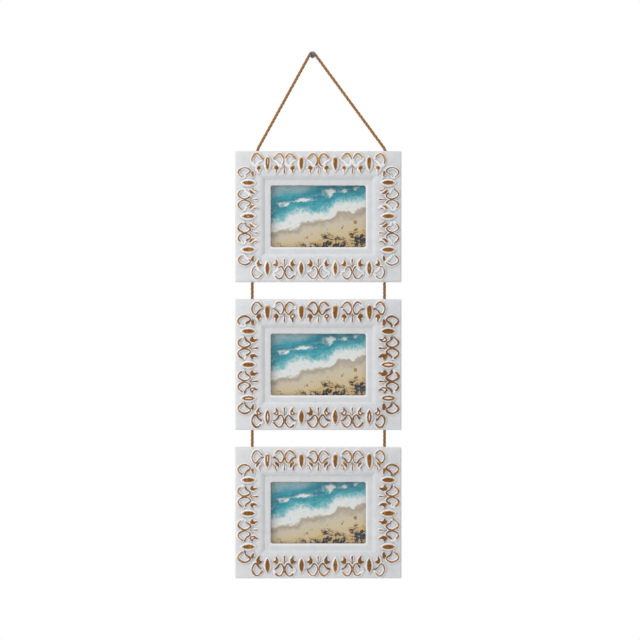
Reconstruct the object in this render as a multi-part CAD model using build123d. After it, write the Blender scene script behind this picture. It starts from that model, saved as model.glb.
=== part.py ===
from build123d import *
import math
import os

# Three carved photo frames that hang one below another on a jute rope from a wall nail.
# Millimetres. The origin is on the nail's axis in the plane of the wall. As seen from the room +X points
# right and +Z up. +Y points into the wall, so the frames face -Y.
# Each frame is drawn in its own plane: x right, y up, z out of the wall, with z = 0 on the moulding's back.

# Print, glass and backing, stacked in the rabbet
PRINT_W = 152.4
PRINT_H = 101.6
PRINT_T = 0.3
GLASS_T = 2.0
BACKING_T = 3.0
BACKING_RECESS = 0.2
RABBET_CLEARANCE = 0.5

# Moulding section, from the window outwards
LIP_OVERLAP_X = 5.2
LIP_OVERLAP_Y = 4.8
LIP_T = 6.0
LIP_BEVEL = 1.0
WINDOW_CORNER_R = 2.5
BAND_W = 9.5
SLOPE_W = 5.5
SLOPE_RISE = 3.5
SIDE_FIELD_W = 39.0
TOP_FIELD_W = 37.5
SIDE_DRAFT = 3.0
EDGE_R = 1.5

# Ornament: its margins and widths, relief heights, each form's top as a share of its base, and the foot of
# a wing as a share of the relief's depth
RELIEF_MARGIN = 0.6
ORNAMENT_GAP = 1.5
WING_REACH = 17.0
WING_FOOT = 0.61
WING_GAP = 0.2
WING_FLATS = 10
RIDGE_HALF_W = 1.5
RIDGE_H = 2.4
OVAL_OUTER_MARGIN = 5.9
OVAL_INNER_MARGIN = 3.1
OVAL_WIDTH = 12.4
OVAL_FLATS = 4
OVAL_H = 2.8
OVAL_TOP = 0.7
BUD_H = 2.4
BUD_TOP = 0.65
DART_W = 6.0
DART_H = 2.0
DART_TOP = 0.65

# Rope, its staples and its places across the frame. A rope narrows where it bends: the length of that end and
# the radius of its tip are shares of the rope's radius.
ROPE_D = 4.0
ROPE_SIDES = 8
ROPE_INSET = 25.5
HANGER_LEFT_INSET = 33.0
HANGER_RIGHT_INSET = 24.0
LINK_GAP = 25.0
ROPE_SEAT_GAP = 0.1
PIVOT_CLEARANCE = 0.3
PIVOT_END = 0.9
PIVOT_TIP = 0.4
ROPE_TAIL = 6.0
STAPLE_INSET = 14.0
STAPLE_T = 0.8
STAPLE_W = 1.4
STAPLE_BITE = 7.0
STAPLE_CLEARANCE = 0.1
WALL_GAP = 0.2

# Turn buttons and their screws
BUTTON_SETBACK = 8.0
BUTTON_REACH = 17.0
BUTTON_W = 9.0
BUTTON_T = 0.9
BUTTON_CLIP = 2.6
BUTTON_LIFT = 0.1
SCREW_D = 3.0
SCREW_HEAD_D = 6.2
SCREW_HEAD_T = 1.5
SCREW_HEAD_SIDES = 12
SCREW_BITE = 8.0
SCREW_RUNNING = 0.1

# Nail, and where the frames hang from it
FRAME_OFFSET_X = 9.0
HANG_DROP = 145.0
NAIL_SHANK_D = 2.5
NAIL_NECK_D = 3.2
NAIL_HEAD_D = 9.4
NAIL_HEAD_T = 1.7
NAIL_HEAD_GAP = 0.4
NAIL_IN_WALL = 22.0
NAIL_TIP = 4.0

# Sizes that follow
WINDOW_W = PRINT_W - 2 * LIP_OVERLAP_X
WINDOW_H = PRINT_H - 2 * LIP_OVERLAP_Y
BAND_OUTER_W = WINDOW_W + 2 * BAND_W
BAND_OUTER_H = WINDOW_H + 2 * BAND_W
FIELD_INNER_W = BAND_OUTER_W + 2 * SLOPE_W
FIELD_INNER_H = BAND_OUTER_H + 2 * SLOPE_W
FRAME_W = FIELD_INNER_W + 2 * SIDE_FIELD_W
FRAME_H = FIELD_INNER_H + 2 * TOP_FIELD_W
RABBET_W = PRINT_W + 2 * RABBET_CLEARANCE
RABBET_H = PRINT_H + 2 * RABBET_CLEARANCE
BACKING_FRONT = BACKING_RECESS + BACKING_T
PRINT_FRONT = BACKING_FRONT + PRINT_T
RABBET_DEPTH = PRINT_FRONT + GLASS_T
BAND_Z = RABBET_DEPTH + LIP_T
FIELD_Z = BAND_Z + SLOPE_RISE
FIELD_START = EDGE_R + FIELD_Z * math.tan(math.radians(SIDE_DRAFT))
RELIEF_OUTER = FIELD_START + RELIEF_MARGIN
RELIEF_DEPTH = min(TOP_FIELD_W, SIDE_FIELD_W) - RELIEF_MARGIN - RELIEF_OUTER
CORNER_INSET = RELIEF_OUTER + WING_FOOT * RELIEF_DEPTH
LEAST_PITCH = 2 * (WING_REACH + ORNAMENT_GAP) + OVAL_WIDTH
ROPE_R = ROPE_D / 2
ROPE_X = FRAME_W / 2 - ROPE_INSET
HANGER_LEFT_X = HANGER_LEFT_INSET - FRAME_W / 2
HANGER_RIGHT_X = FRAME_W / 2 - HANGER_RIGHT_INSET
ROPE_Z = -(ROPE_SEAT_GAP + ROPE_R)
STAPLE_CROWN_Z = -(ROPE_SEAT_GAP + ROPE_D + STAPLE_CLEARANCE)
BACK_OFFSET = STAPLE_T + WALL_GAP - STAPLE_CROWN_Z
ROPE_Y = -(BACK_OFFSET + ROPE_Z)
PIVOT_REACH = ROPE_R + PIVOT_CLEARANCE
PIVOT_Y = FRAME_H / 2 + PIVOT_REACH
FRAME_PITCH = FRAME_H + LINK_GAP
FRAME_NAMES = ("top", "middle", "bottom")


def back_plane(x, z):
    """Plane of the mouldings' backs, facing the room, with its origin at this place on the wall."""
    return Plane(origin=(x, -BACK_OFFSET, z), x_dir=(1, 0, 0), z_dir=(0, -1, 0))


def frame_plane(index):
    """Plane of the moulding's back for the frame with this place in the row."""
    return back_plane(FRAME_OFFSET_X, -(HANG_DROP + FRAME_H / 2 + index * FRAME_PITCH))


def box_between(low, high):
    """Box from its lowest to its highest corner."""
    size = [b - a for a, b in zip(low, high)]
    middle = [(a + b) / 2 for a, b in zip(low, high)]
    return Pos(*middle) * Box(*size)


def rope_plane(point, direction):
    """Plane square to a rope that lies flat on the back."""
    return Plane(origin=point, x_dir=(0, 0, 1), z_dir=direction)


def rope_section():
    """Section of the rope, cut in flats."""
    return RegularPolygon(ROPE_R, ROPE_SIDES)


def rope_run(start, end):
    """Straight rope from one point to another."""
    line = end - start
    return rope_plane(start, line) * extrude(rope_section(), line.length)


def pivot_end(point, direction):
    """Narrowing end of a rope, inside a ball of the rope's own radius round the point it bends at."""
    narrowing = math.degrees(math.atan2(1 - PIVOT_TIP, PIVOT_END))
    return rope_plane(point, direction) * extrude(rope_section(), PIVOT_END * ROPE_R, taper=narrowing)


# Ornament forms, drawn for the top rail: x along the rail from a wing pair's centre, y = 0 on the outer edge
def relief_point(reach_share, depth_share):
    """Point of the relief, as shares of a wing's reach and of the depth that the relief fills."""
    return (reach_share * WING_REACH, -(RELIEF_OUTER + depth_share * RELIEF_DEPTH))


def flat(corners):
    """Flat face between these corners."""
    return Face(Wire.make_polygon(corners, close=True))


def band(outline, other):
    """Flats that join the corners of two outlines in turn."""
    corners = zip(outline, other, other[1:] + other[:1], outline[1:] + outline[:1])
    return [flat(four) for four in corners]


def raised(points, height, top_share):
    """Flat-topped form on the field, narrowing from its outline at the base towards its middle."""
    base = [Vector(*point) for point in points]
    middle = sum(base, Vector()) / len(base)
    top = [middle + (point - middle) * top_share + Vector(0, 0, height) for point in base]
    return Solid(Shell(band(base, top) + [flat(base), flat(top)]))


def wing():
    """Closed curl of a sharp-topped ridge, with its cusp towards the next oval."""
    cusp = relief_point(1.0, 0.33)
    shoulder = relief_point(0.79, 0.18)
    crown = relief_point(0.49, RIDGE_HALF_W / RELIEF_DEPTH)
    back = relief_point((RIDGE_HALF_W + WING_GAP) / WING_REACH, 0.325)
    foot = relief_point(0.41, WING_FOOT)
    waist = relief_point(0.69, 0.43)
    curl = Spline(cusp, shoulder, crown, back, foot, waist, cusp)
    corners = [curl @ (i / WING_FLATS) for i in range(WING_FLATS)]
    outer = []
    inner = []
    for i, corner in enumerate(corners):
        before = (corner - corners[i - 1]).normalized()
        after = (corners[(i + 1) % WING_FLATS] - corner).normalized()
        mitre = Vector(-before.Y - after.Y, before.X + after.X) / (1 + before.dot(after))
        outer.append(corner - mitre * RIDGE_HALF_W)
        inner.append(corner + mitre * RIDGE_HALF_W)
    crest = [corner + Vector(0, 0, RIDGE_H) for corner in corners]
    return Solid(Shell(band(outer, crest) + band(crest, inner) + band(inner, outer)))


def oval():
    """Pointed oval across the rail, its two sides arcs cut in flats."""
    half_l = (RELIEF_DEPTH - OVAL_OUTER_MARGIN - OVAL_INNER_MARGIN) / 2
    half_w = OVAL_WIDTH / 2
    centre_y = -(RELIEF_OUTER + OVAL_OUTER_MARGIN + half_l)
    radius = (half_l ** 2 + half_w ** 2) / (2 * half_w)
    half_turn = math.asin(half_l / radius)
    turns = [half_turn * (2 * i / OVAL_FLATS - 1) for i in range(OVAL_FLATS)]
    side = [(half_w - radius + radius * math.cos(t), radius * math.sin(t)) for t in turns]
    points = side + [(-x, -y) for x, y in side]
    return raised([(x, y + centre_y) for x, y in points], OVAL_H, OVAL_TOP)


def bud(belly_share, tail):
    """Full leaf below a wing, with a tip towards the oval and a tail inwards as far as this depth share. Its belly
    starts at a share of the wing's reach."""
    belly = [relief_point(belly_share, 0.86), relief_point(0.78, tail), relief_point(0.88, 0.82)]
    crown = [relief_point(1.1, 0.71), relief_point(0.8, 0.585), relief_point(0.6, 0.61)]
    return raised(belly + crown + [relief_point(belly_share - 0.1, 0.74)], BUD_H, BUD_TOP)


def dart():
    """Drop between two buds, narrow at the wings and wide at its inner end."""
    _, start = relief_point(0, WING_FOOT)
    _, end = relief_point(0, 0.98)
    half = DART_W / 2
    return raised([(-half, end), (half, end), (0.4 * half, start), (-0.4 * half, start)], DART_H, DART_TOP)


def row(length, unit, corner_unit):
    """Forms along one rail: a wing and bud each way from every centre, ovals between, corners left bare."""
    spaces = max(1, int((length - 2 * CORNER_INSET) / LEAST_PITCH))
    pitch = (length - 2 * CORNER_INSET) / spaces
    oval_form = oval()
    dart_form = dart()
    forms = []
    for i in range(spaces + 1):
        place = Pos(i * pitch + CORNER_INSET - length / 2, 0, 0)
        if 0 < i < spaces:
            forms += [place * unit, place * mirror(unit, Plane.YZ), place * dart_form]
        if i < spaces:
            forms.append(place * Pos(pitch / 2, 0, 0) * oval_form)
    end = Pos(CORNER_INSET - length / 2, 0, 0) * corner_unit
    return Compound(children=forms + [end, mirror(end, Plane.YZ)])


def ornament():
    """Relief on the four rails of one frame. The side rows end in shorter buds, clear of the other rows."""
    unit = Compound(children=[wing(), bud(0.5, 0.99)])
    side_end = Compound(children=[wing(), bud(0.59, 0.88)])
    rows = (row(FRAME_W, unit, unit), row(FRAME_H, unit, side_end))
    solids = []
    for turn in range(4):
        reach = (FRAME_H, FRAME_W)[turn % 2] / 2
        solids += (Rot(0, 0, 90 * turn) * Pos(0, reach, FIELD_Z) * rows[turn % 2]).solids()
    return Compound(children=solids)


# Moulding, and what lies in its rabbet and on its back
def moulding():
    """One-piece moulding: drafted sides, field, sloped step, inner band, window and rabbet."""
    blank = extrude(Rectangle(FRAME_W, FRAME_H), FIELD_Z, taper=SIDE_DRAFT)
    blank = fillet(blank.faces().sort_by(Axis.Z)[-1].edges(), EDGE_R)
    well_floor = Pos(0, 0, BAND_Z) * Rectangle(BAND_OUTER_W, BAND_OUTER_H)
    well_mouth = Pos(0, 0, FIELD_Z) * Rectangle(FIELD_INNER_W, FIELD_INNER_H)
    blank -= loft([well_floor.face(), well_mouth.face()])
    window = RectangleRounded(WINDOW_W, WINDOW_H, WINDOW_CORNER_R)
    blank -= extrude(window, FIELD_Z)
    bevel_start = Pos(0, 0, BAND_Z - LIP_BEVEL) * window
    bevel_taper = -math.degrees(math.atan2(LIP_BEVEL, LIP_BEVEL))
    blank -= extrude(bevel_start, LIP_BEVEL, taper=bevel_taper)
    return blank - extrude(Rectangle(RABBET_W, RABBET_H), RABBET_DEPTH)


def sheet(back, front):
    """Flat sheet of the print's size between two depths in the rabbet."""
    return box_between((-PRINT_W / 2, -PRINT_H / 2, back), (PRINT_W / 2, PRINT_H / 2, front))


def rope_ends(index):
    """Top and bottom point of the left and the right rope at the edges of a frame."""
    tops = (HANGER_LEFT_X, HANGER_RIGHT_X) if index == 0 else (-ROPE_X, ROPE_X)
    ends = []
    for top_x, bottom_x in zip(tops, (-ROPE_X, ROPE_X)):
        ends.append((Vector(top_x, FRAME_H / 2, ROPE_Z), Vector(bottom_x, -FRAME_H / 2, ROPE_Z)))
    return ends


def staple_places(index):
    """Where a staple crosses the rope near the top and the bottom edge."""
    share = STAPLE_INSET / FRAME_H
    places = []
    for top, bottom in rope_ends(index):
        places += [top + (bottom - top) * share, bottom + (top - bottom) * share]
    return places


def staple(place):
    """Flat-wire staple over the rope, with its legs driven into the moulding."""
    inner = ROPE_R + STAPLE_CLEARANCE
    outer = inner + STAPLE_T
    low = (-outer, -STAPLE_W / 2, STAPLE_CROWN_Z - STAPLE_T)
    high = (outer, STAPLE_W / 2, STAPLE_BITE)
    hollow = box_between((-inner, -STAPLE_W / 2, STAPLE_CROWN_Z), (inner, STAPLE_W / 2, STAPLE_BITE))
    return Pos(place.X, place.Y, 0) * (box_between(low, high) - hollow)


def button_places():
    """Pivot of each turn button and the way its reach points: down from the top rail, up from the bottom."""
    pivot_y = RABBET_H / 2 + BUTTON_SETBACK
    return ((pivot_y, -1), (-pivot_y, 1))


def button(pivot_y, way):
    """Stamped tab with clipped corners that turns on its screw."""
    length = BUTTON_REACH + BUTTON_W / 2
    tab = chamfer(Rectangle(BUTTON_W, length).vertices(), BUTTON_CLIP)
    tab = Pos(0, (length - BUTTON_W) / 2 * way) * tab
    tab -= Circle(SCREW_D / 2 + SCREW_RUNNING)
    return Pos(0, pivot_y, -BUTTON_LIFT) * extrude(tab, -BUTTON_T)


def screw(pivot_y):
    """Screw through a turn button, driven into the moulding, its round head cut in flats."""
    head_z = -(2 * BUTTON_LIFT + BUTTON_T)
    head = extrude(RegularPolygon(SCREW_HEAD_D / 2, SCREW_HEAD_SIDES), -SCREW_HEAD_T)
    shank = extrude(Circle(SCREW_D / 2), SCREW_BITE - head_z)
    return Pos(0, pivot_y, head_z) * (head + shank)


# Rope over the nail and between the frames
def hanger():
    """Two straight legs from the top frame's upper edge, and the turn over the nail at the origin."""
    turn_r = NAIL_NECK_D / 2 + PIVOT_CLEARANCE + ROPE_R
    end_y = PIVOT_REACH - HANG_DROP
    ends = [Vector(FRAME_OFFSET_X + x, end_y, ROPE_Z) for x in (HANGER_LEFT_X, HANGER_RIGHT_X)]
    touches = []
    for end, side in zip(ends, (-1, 1)):
        angle = math.atan2(end.Y, end.X) + side * math.acos(turn_r / math.hypot(end.X, end.Y))
        touches.append(Vector(turn_r * math.cos(angle), turn_r * math.sin(angle), ROPE_Z))
    over = ThreePointArc(touches[0], (0, turn_r, ROPE_Z), touches[1])
    path = Wire([Line(ends[0], touches[0]), over, Line(touches[1], ends[1])])
    tube = sweep(rope_plane(path @ 0, path % 0) * rope_section(), path=path)
    print("hanger rope: length", round(path.length, 1), "turn radius", round(turn_r, 2))
    print("volume over section times length:", round(tube.volume / (rope_section().area * path.length), 4))
    return tube + [pivot_end(end, end - touch) for end, touch in zip(ends, touches)]


def link(x):
    """Rope from a frame's lower edge to the frame below, narrowed at the two points where it bends."""
    above = Vector(x, -PIVOT_Y, ROPE_Z)
    below = Vector(x, PIVOT_Y - FRAME_PITCH, ROPE_Z)
    return rope_run(above, below) + [pivot_end(above, above - below), pivot_end(below, below - above)]


def back_rope(index, ends):
    """Rope behind one frame. On the lowest frame it stops a little past the lower staple."""
    top, bottom = ends
    if index == len(FRAME_NAMES) - 1:
        bottom = bottom + (top - bottom).normalized() * (STAPLE_INSET - ROPE_TAIL)
    return rope_run(top, bottom)


def nail():
    """Round nail: tip and shank in the wall, a thicker neck for the rope, and a flat head."""
    head_y = ROPE_Y - ROPE_R - NAIL_HEAD_GAP
    front_y = head_y - NAIL_HEAD_T
    shank_r = NAIL_SHANK_D / 2
    neck_r = NAIL_NECK_D / 2
    head_r = NAIL_HEAD_D / 2
    point = [(0, NAIL_IN_WALL + NAIL_TIP), (shank_r, NAIL_IN_WALL), (shank_r, 0)]
    neck = [(neck_r, 0), (neck_r, head_y)]
    head = [(head_r, head_y), (head_r, front_y), (0, front_y)]
    return revolve(make_face(Polyline(*point, *neck, *head, close=True)), Axis.Y)


os.makedirs("parts", exist_ok=True)
export_step(nail(), "parts/wall_nail.step")
export_step(back_plane(0, 0) * hanger(), "parts/hanger_rope.step")

shared = {
    "moulding": moulding(),
    "ornament": ornament(),
    "glass": sheet(PRINT_FRONT, RABBET_DEPTH),
    "print": sheet(BACKING_FRONT, PRINT_FRONT),
    "backing": sheet(BACKING_RECESS, BACKING_FRONT),
    "button_screws": Compound(children=[screw(pivot_y) for pivot_y, _ in button_places()]),
}
for number, (pivot_y, way) in enumerate(button_places(), start=1):
    shared[f"button_{number}"] = button(pivot_y, way)

for index, name in enumerate(FRAME_NAMES):
    pieces = dict(shared)
    pieces["rope_staples"] = Compound(children=[staple(place) for place in staple_places(index)])
    for side, ends in zip(("left", "right"), rope_ends(index)):
        pieces[f"back_rope_{side}"] = back_rope(index, ends)
    for piece, shape in pieces.items():
        export_step(frame_plane(index) * shape, f"parts/{name}_{piece}.step")

for index, name in enumerate(("upper", "lower")):
    for side, x in (("left", -ROPE_X), ("right", ROPE_X)):
        export_step(frame_plane(index) * link(x), f"parts/{name}_link_{side}.step")

print("frame", FRAME_W, "x", FRAME_H, "x", FIELD_Z, "window", WINDOW_W, "x", WINDOW_H)
print("sheets: glass", GLASS_T, "print", PRINT_T, "backing", BACKING_T)
print("rope diameter", ROPE_D, "link length", LINK_GAP - 2 * PIVOT_REACH)
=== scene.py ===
# %% [markdown]
# Three carved white photo frames hang one below another on a jute rope from a wall nail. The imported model
# gives every piece its place and its motion. This lesson builds the looks around it: soft cast relief
# with the paint rubbed off its tops, twisted rope, glass, prints and small hardware. Sizes of the object
# are written in millimetres, as a frame maker would, and turned into metres once. The stage round it and
# the fine grain in the finishes are written in metres.

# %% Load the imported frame
import math
import random

import bmesh
import bpy
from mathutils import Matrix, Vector


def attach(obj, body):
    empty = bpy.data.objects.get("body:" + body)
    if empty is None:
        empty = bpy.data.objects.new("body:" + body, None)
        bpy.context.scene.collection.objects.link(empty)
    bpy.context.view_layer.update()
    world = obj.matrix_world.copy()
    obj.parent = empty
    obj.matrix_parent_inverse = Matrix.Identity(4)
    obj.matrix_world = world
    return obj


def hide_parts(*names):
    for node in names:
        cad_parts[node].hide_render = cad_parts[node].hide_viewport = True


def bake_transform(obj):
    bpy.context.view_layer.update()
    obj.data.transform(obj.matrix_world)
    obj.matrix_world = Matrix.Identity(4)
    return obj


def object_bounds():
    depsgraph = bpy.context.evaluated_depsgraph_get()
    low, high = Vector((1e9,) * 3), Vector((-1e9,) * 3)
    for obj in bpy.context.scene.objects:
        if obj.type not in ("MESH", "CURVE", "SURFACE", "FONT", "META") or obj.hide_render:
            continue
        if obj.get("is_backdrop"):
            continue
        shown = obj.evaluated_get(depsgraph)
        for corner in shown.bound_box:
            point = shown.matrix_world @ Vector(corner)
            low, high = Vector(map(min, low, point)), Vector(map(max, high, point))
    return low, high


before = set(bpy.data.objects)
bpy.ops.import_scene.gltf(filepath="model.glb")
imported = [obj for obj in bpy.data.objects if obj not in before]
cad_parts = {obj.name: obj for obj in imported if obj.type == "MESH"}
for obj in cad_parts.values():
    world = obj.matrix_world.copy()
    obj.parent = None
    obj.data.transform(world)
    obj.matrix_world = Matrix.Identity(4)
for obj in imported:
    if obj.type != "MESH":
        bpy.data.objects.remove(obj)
cad_low, cad_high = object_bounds()
MM = 0.001
FRAME_NAMES = ("top", "middle", "bottom")
FRAME_W, FRAME_H, FRAME_PITCH = 250.0, 197.0, 222.0
FRAME_X, BACK_Y, TOP_CENTRE_Z = 9.0, -5.2, -243.5

# %% [markdown]
# The photograph was taken straight from the front with a long lens, so the three frames show almost no
# perspective. A camera 2.6 m away, aimed level at the middle of the row, gives the same picture.

# %% Camera
CAMERA_X, CAMERA_Z, CAMERA_DISTANCE = 0.0114, -0.3986, 2.6
VIEW_WIDTH, FRONT_DEPTH = 0.957, 0.02
camera_data = bpy.data.cameras.new("camera")
camera_data.sensor_width = 36
camera_data.lens = camera_data.sensor_width * (CAMERA_DISTANCE - FRONT_DEPTH) / VIEW_WIDTH
camera = bpy.data.objects.new("camera", camera_data)
camera.location = (CAMERA_X, -CAMERA_DISTANCE, CAMERA_Z)
camera.rotation_euler = (math.radians(90), 0, 0)
bpy.context.scene.collection.objects.link(camera)
bpy.context.scene.camera = camera
print("lens", round(camera_data.lens, 1), "mm")

# %% [markdown]
# Nearly every form here is a skin over a row of closed rings: a rope strand is rings along a line, a
# frame is rings from its back edge round to its rabbet, a leaf is rings from its foot to its top. One
# builder takes such rows, closes their ends and joins them into one piece. It also stores named values on
# the points, such as how far the paint is rubbed off, which the finishes read later.

# %% Builder for skins over rings
SHARP_ANGLE = math.radians(50)


def skin_faces(first, rows, count, endless):
    """Quads between neighbouring rings. An open row gets a flat face at each end."""
    faces = []
    for row in range(rows if endless else rows - 1):
        low = first + row * count
        high = first + (row + 1) % rows * count
        for i in range(count):
            j = (i + 1) % count
            faces.append((low + i, low + j, high + j, high + i))
    if not endless:
        faces.append(tuple(range(first, first + count)))
        faces.append(tuple(range(first + (rows - 1) * count, first + rows * count)))
    return faces


def build_mesh(name, skins, traits=(), endless=False):
    """Mesh from skins. Each is (rings, values), and values has one row of numbers for each trait."""
    points, faces = [], []
    numbers = {trait: [] for trait in traits}
    for rings, values in skins:
        faces += skin_faces(len(points), len(rings), len(rings[0]), endless)
        points += [point for ring in rings for point in ring]
        for trait in traits:
            numbers[trait] += values[trait]
    mesh = bpy.data.meshes.new(name)
    mesh.from_pydata(points, [], faces)
    sculpt = bmesh.new()
    sculpt.from_mesh(mesh)
    bmesh.ops.recalc_face_normals(sculpt, faces=sculpt.faces)
    sculpt.to_mesh(mesh)
    sculpt.free()
    for trait, row in numbers.items():
        vector = isinstance(row[0], tuple)
        layer = mesh.attributes.new(trait, "FLOAT_VECTOR" if vector else "FLOAT", "POINT")
        flat = [x for item in row for x in item] if vector else row
        layer.data.foreach_set("vector" if vector else "value", flat)
    mesh.shade_smooth()
    mesh.set_sharp_from_angle(angle=SHARP_ANGLE)
    return mesh


# %% [markdown]
# A piece is a mesh with a finish and a place, and a piece on a frame or on the nail also has a body that
# it moves with. Whatever sits on one of the three frames has the middle of that frame's back as its origin,
# so a mesh that is the same on all frames is made only once.

# %% Pieces and their places
def add_piece(name, mesh, material, place=(0, 0, 0)):
    """Object for a mesh, with its finish and its place."""
    piece = bpy.data.objects.new(name, mesh)
    piece.location = place
    if not mesh.materials:
        mesh.materials.append(material)
    bpy.context.scene.collection.objects.link(piece)
    return piece


def add_to_frame(name, label, node, mesh, material):
    """Piece that rides on one of the frames and replaces a node of the model there."""
    place = Vector((FRAME_X, BACK_Y, TOP_CENTRE_Z - FRAME_NAMES.index(name) * FRAME_PITCH)) * MM
    piece = add_piece(f"{name}_{label}", mesh, material, place)
    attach(piece, f"{name}_frame")
    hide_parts(f"{name}_{node}")
    print(piece.name, len(mesh.polygons), "faces")


def on_face(x, up, out):
    """Point of a frame from millimetres across, up and out of the wall."""
    return Vector((x, -out, up)) * MM


# %% [markdown]
# Finishes are built from shader nodes. Small helpers keep the wiring readable: they place a node and fill
# its sockets, blend colours and do sums. A socket takes a plain value or a link alike, so a finish reads
# as a list of what it is made of.

# %% Helpers for shader nodes
def set_sockets(tree, node, **sockets):
    """Values or links for a node's inputs, by name, or as noN for the input with that number."""
    for key, value in sockets.items():
        socket = node.inputs[int(key[2:]) if key.startswith("no") else key.replace("_", " ")]
        if isinstance(value, bpy.types.NodeSocket):
            tree.links.new(value, socket)
        else:
            socket.default_value = value


def place_node(tree, kind, settings=None, **sockets):
    """New node with its settings and its inputs."""
    node = tree.nodes.new(kind)
    for key, value in (settings or {}).items():
        setattr(node, key, value)
    set_sockets(tree, node, **sockets)
    return node


def blend_colour(tree, share, first, second):
    """Colour between two others."""
    node = place_node(tree, "ShaderNodeMix", {"data_type": "RGBA"}, no0=share, no6=first, no7=second)
    return node.outputs[2]


def calc(tree, way, first, second):
    """One sum on two values."""
    return place_node(tree, "ShaderNodeMath", {"operation": way}, no0=first, no1=second).outputs[0]


def weigh(tree, first, first_weight, second, second_weight):
    """Sum of two values, each times its weight."""
    return calc(tree, "ADD", calc(tree, "MULTIPLY", first, first_weight),
                calc(tree, "MULTIPLY", second, second_weight))


def spread(tree, value, width):
    """Value round a half turned into one round zero, this wide."""
    return calc(tree, "MULTIPLY", calc(tree, "SUBTRACT", value, 0.5), width)


# %% [markdown]
# Most finishes are made of the same few patterns: a value moved from one span to another, cloudy noise,
# and a bump from a height. Each has a helper of its own.

# %% Helpers for spans, noise and bumps
def ramp(tree, value, low, high, to_low=0.0, to_high=1.0):
    """Value moved smoothly from one span to another."""
    node = place_node(tree, "ShaderNodeMapRange", {"interpolation_type": "SMOOTHSTEP"}, Value=value,
                      From_Min=low, From_Max=high, To_Min=to_low, To_Max=to_high)
    return node.outputs["Result"]


def fall(tree, value, low, high):
    """1 below a span, falling smoothly to 0 above it."""
    return ramp(tree, value, low, high, 1.0, 0.0)


def noise(tree, vector, scale, detail=3.0, rough=0.55):
    """Cloudy value, centred on a half."""
    node = place_node(tree, "ShaderNodeTexNoise", Vector=vector, Scale=scale, Detail=detail,
                      Roughness=rough)
    return node.outputs["Fac"]


def bump(tree, height, distance, strength):
    """Normal of a rough surface, where a height of 1 is this distance in metres."""
    node = place_node(tree, "ShaderNodeBump", Height=height, Distance=distance, Strength=strength)
    return node.outputs["Normal"]


# %% [markdown]
# A finish reads where it is on its piece, and the values that the mesh stores. Effects that several
# finishes share, such as uneven casting, rubbed paint, fibres and worn metal, are node groups: each is
# made once and placed in a finish with that finish's own values. The main shader always stays in the
# finish itself.

# %% Helpers for groups and finishes
def object_spot(tree):
    """Coordinates on the piece itself, in metres."""
    return place_node(tree, "ShaderNodeTexCoord").outputs["Object"]


def stored(tree, trait, kind="Fac"):
    """What the mesh stores under this name."""
    return place_node(tree, "ShaderNodeAttribute", {"attribute_name": trait}).outputs[kind]


def open_group(name, takes, gives):
    """Empty node group, the sockets that it takes and the node that it gives its results to."""
    tree = bpy.data.node_groups.new(name, "ShaderNodeTree")
    for (socket, kind), side in [(s, "INPUT") for s in takes] + [(s, "OUTPUT") for s in gives]:
        tree.interface.new_socket(socket, in_out=side, socket_type="NodeSocket" + kind)
    return tree, tree.nodes.new("NodeGroupInput").outputs, tree.nodes.new("NodeGroupOutput")


def close_group(tree, gives, **sockets):
    """What the group gives."""
    set_sockets(tree, gives, **sockets)
    print("group", tree.name, len(tree.nodes), "nodes")


def use_group(tree, group, **sockets):
    """The group placed in a finish, as the sockets that it gives."""
    return place_node(tree, "ShaderNodeGroup", {"node_tree": group}, **sockets).outputs


def open_finish(name):
    """New material and its node tree."""
    material = bpy.data.materials.new(name)
    material.use_nodes = True
    return material, material.node_tree


def fill_shader(material, **sockets):
    """Main shader of a finish, with its inputs set."""
    tree = material.node_tree
    shader = tree.nodes["Principled BSDF"]
    set_sockets(tree, shader, **sockets)
    print("finish", material.name, len(tree.nodes), "nodes")
    return shader


# %% [markdown]
# The frames are cast and painted by hand, so no face is quite flat: there are slow waves from the mould
# and a fine orange peel from the paint. This group gives a height for the bump and a value that shifts
# the colour.

# %% Group: uneven casting
casting, takes, gives = open_group(
    "uneven_casting", [("Vector", "Vector"), ("Peel Size", "Float")],
    [("Height", "Float"), ("Tone", "Float")])
place = takes["Vector"]
waves = noise(casting, place, scale=34.0, detail=2.0)
peel_scale = calc(casting, "DIVIDE", 1.0, takes["Peel Size"])
peel = noise(casting, place, peel_scale, detail=4.0, rough=0.6)
peel_height = calc(casting, "MULTIPLY", peel, 0.16)
height = calc(casting, "ADD", waves, peel_height)
tone = noise(casting, place, scale=90.0, detail=4.0, rough=0.6)
close_group(casting, gives, Height=height, Tone=tone)

# %% [markdown]
# The brown on the relief is the undercoat: white paint was rubbed off the tops while it was fresh. A
# stored value says how likely each place is to be rubbed, and noise breaks its edge into small flecks.
# Where the undercoat shows it runs from dark umber to a warm gold, because the rubbing was uneven too.

# %% Group: rubbed paint
rubbed, takes, gives = open_group(
    "rubbed_paint",
    [("Vector", "Vector"), ("Rub", "Float"), ("Gild", "Float"), ("Paint", "Color"), ("Undercoat", "Color"),
     ("Gold", "Color")],
    [("Color", "Color"), ("Bare", "Float")])
place = takes["Vector"]
flecks = noise(rubbed, place, scale=420.0)
specks = noise(rubbed, place, scale=1900.0, detail=2.0)
ragged = weigh(rubbed, flecks, 0.7, specks, 0.3)
edge = calc(rubbed, "ADD", takes["Rub"], spread(rubbed, ragged, width=0.75))
bare = ramp(rubbed, edge, 0.42, 0.6)
patches = noise(rubbed, place, scale=260.0, detail=4.0, rough=0.65)
golden = calc(rubbed, "ADD", patches, spread(rubbed, takes["Gild"], width=0.4))
gilt = ramp(rubbed, golden, 0.38, 0.66)
brown = blend_colour(rubbed, gilt, takes["Undercoat"], takes["Gold"])
close_group(rubbed, gives, Color=blend_colour(rubbed, bare, takes["Paint"], brown), Bare=bare)
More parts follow.
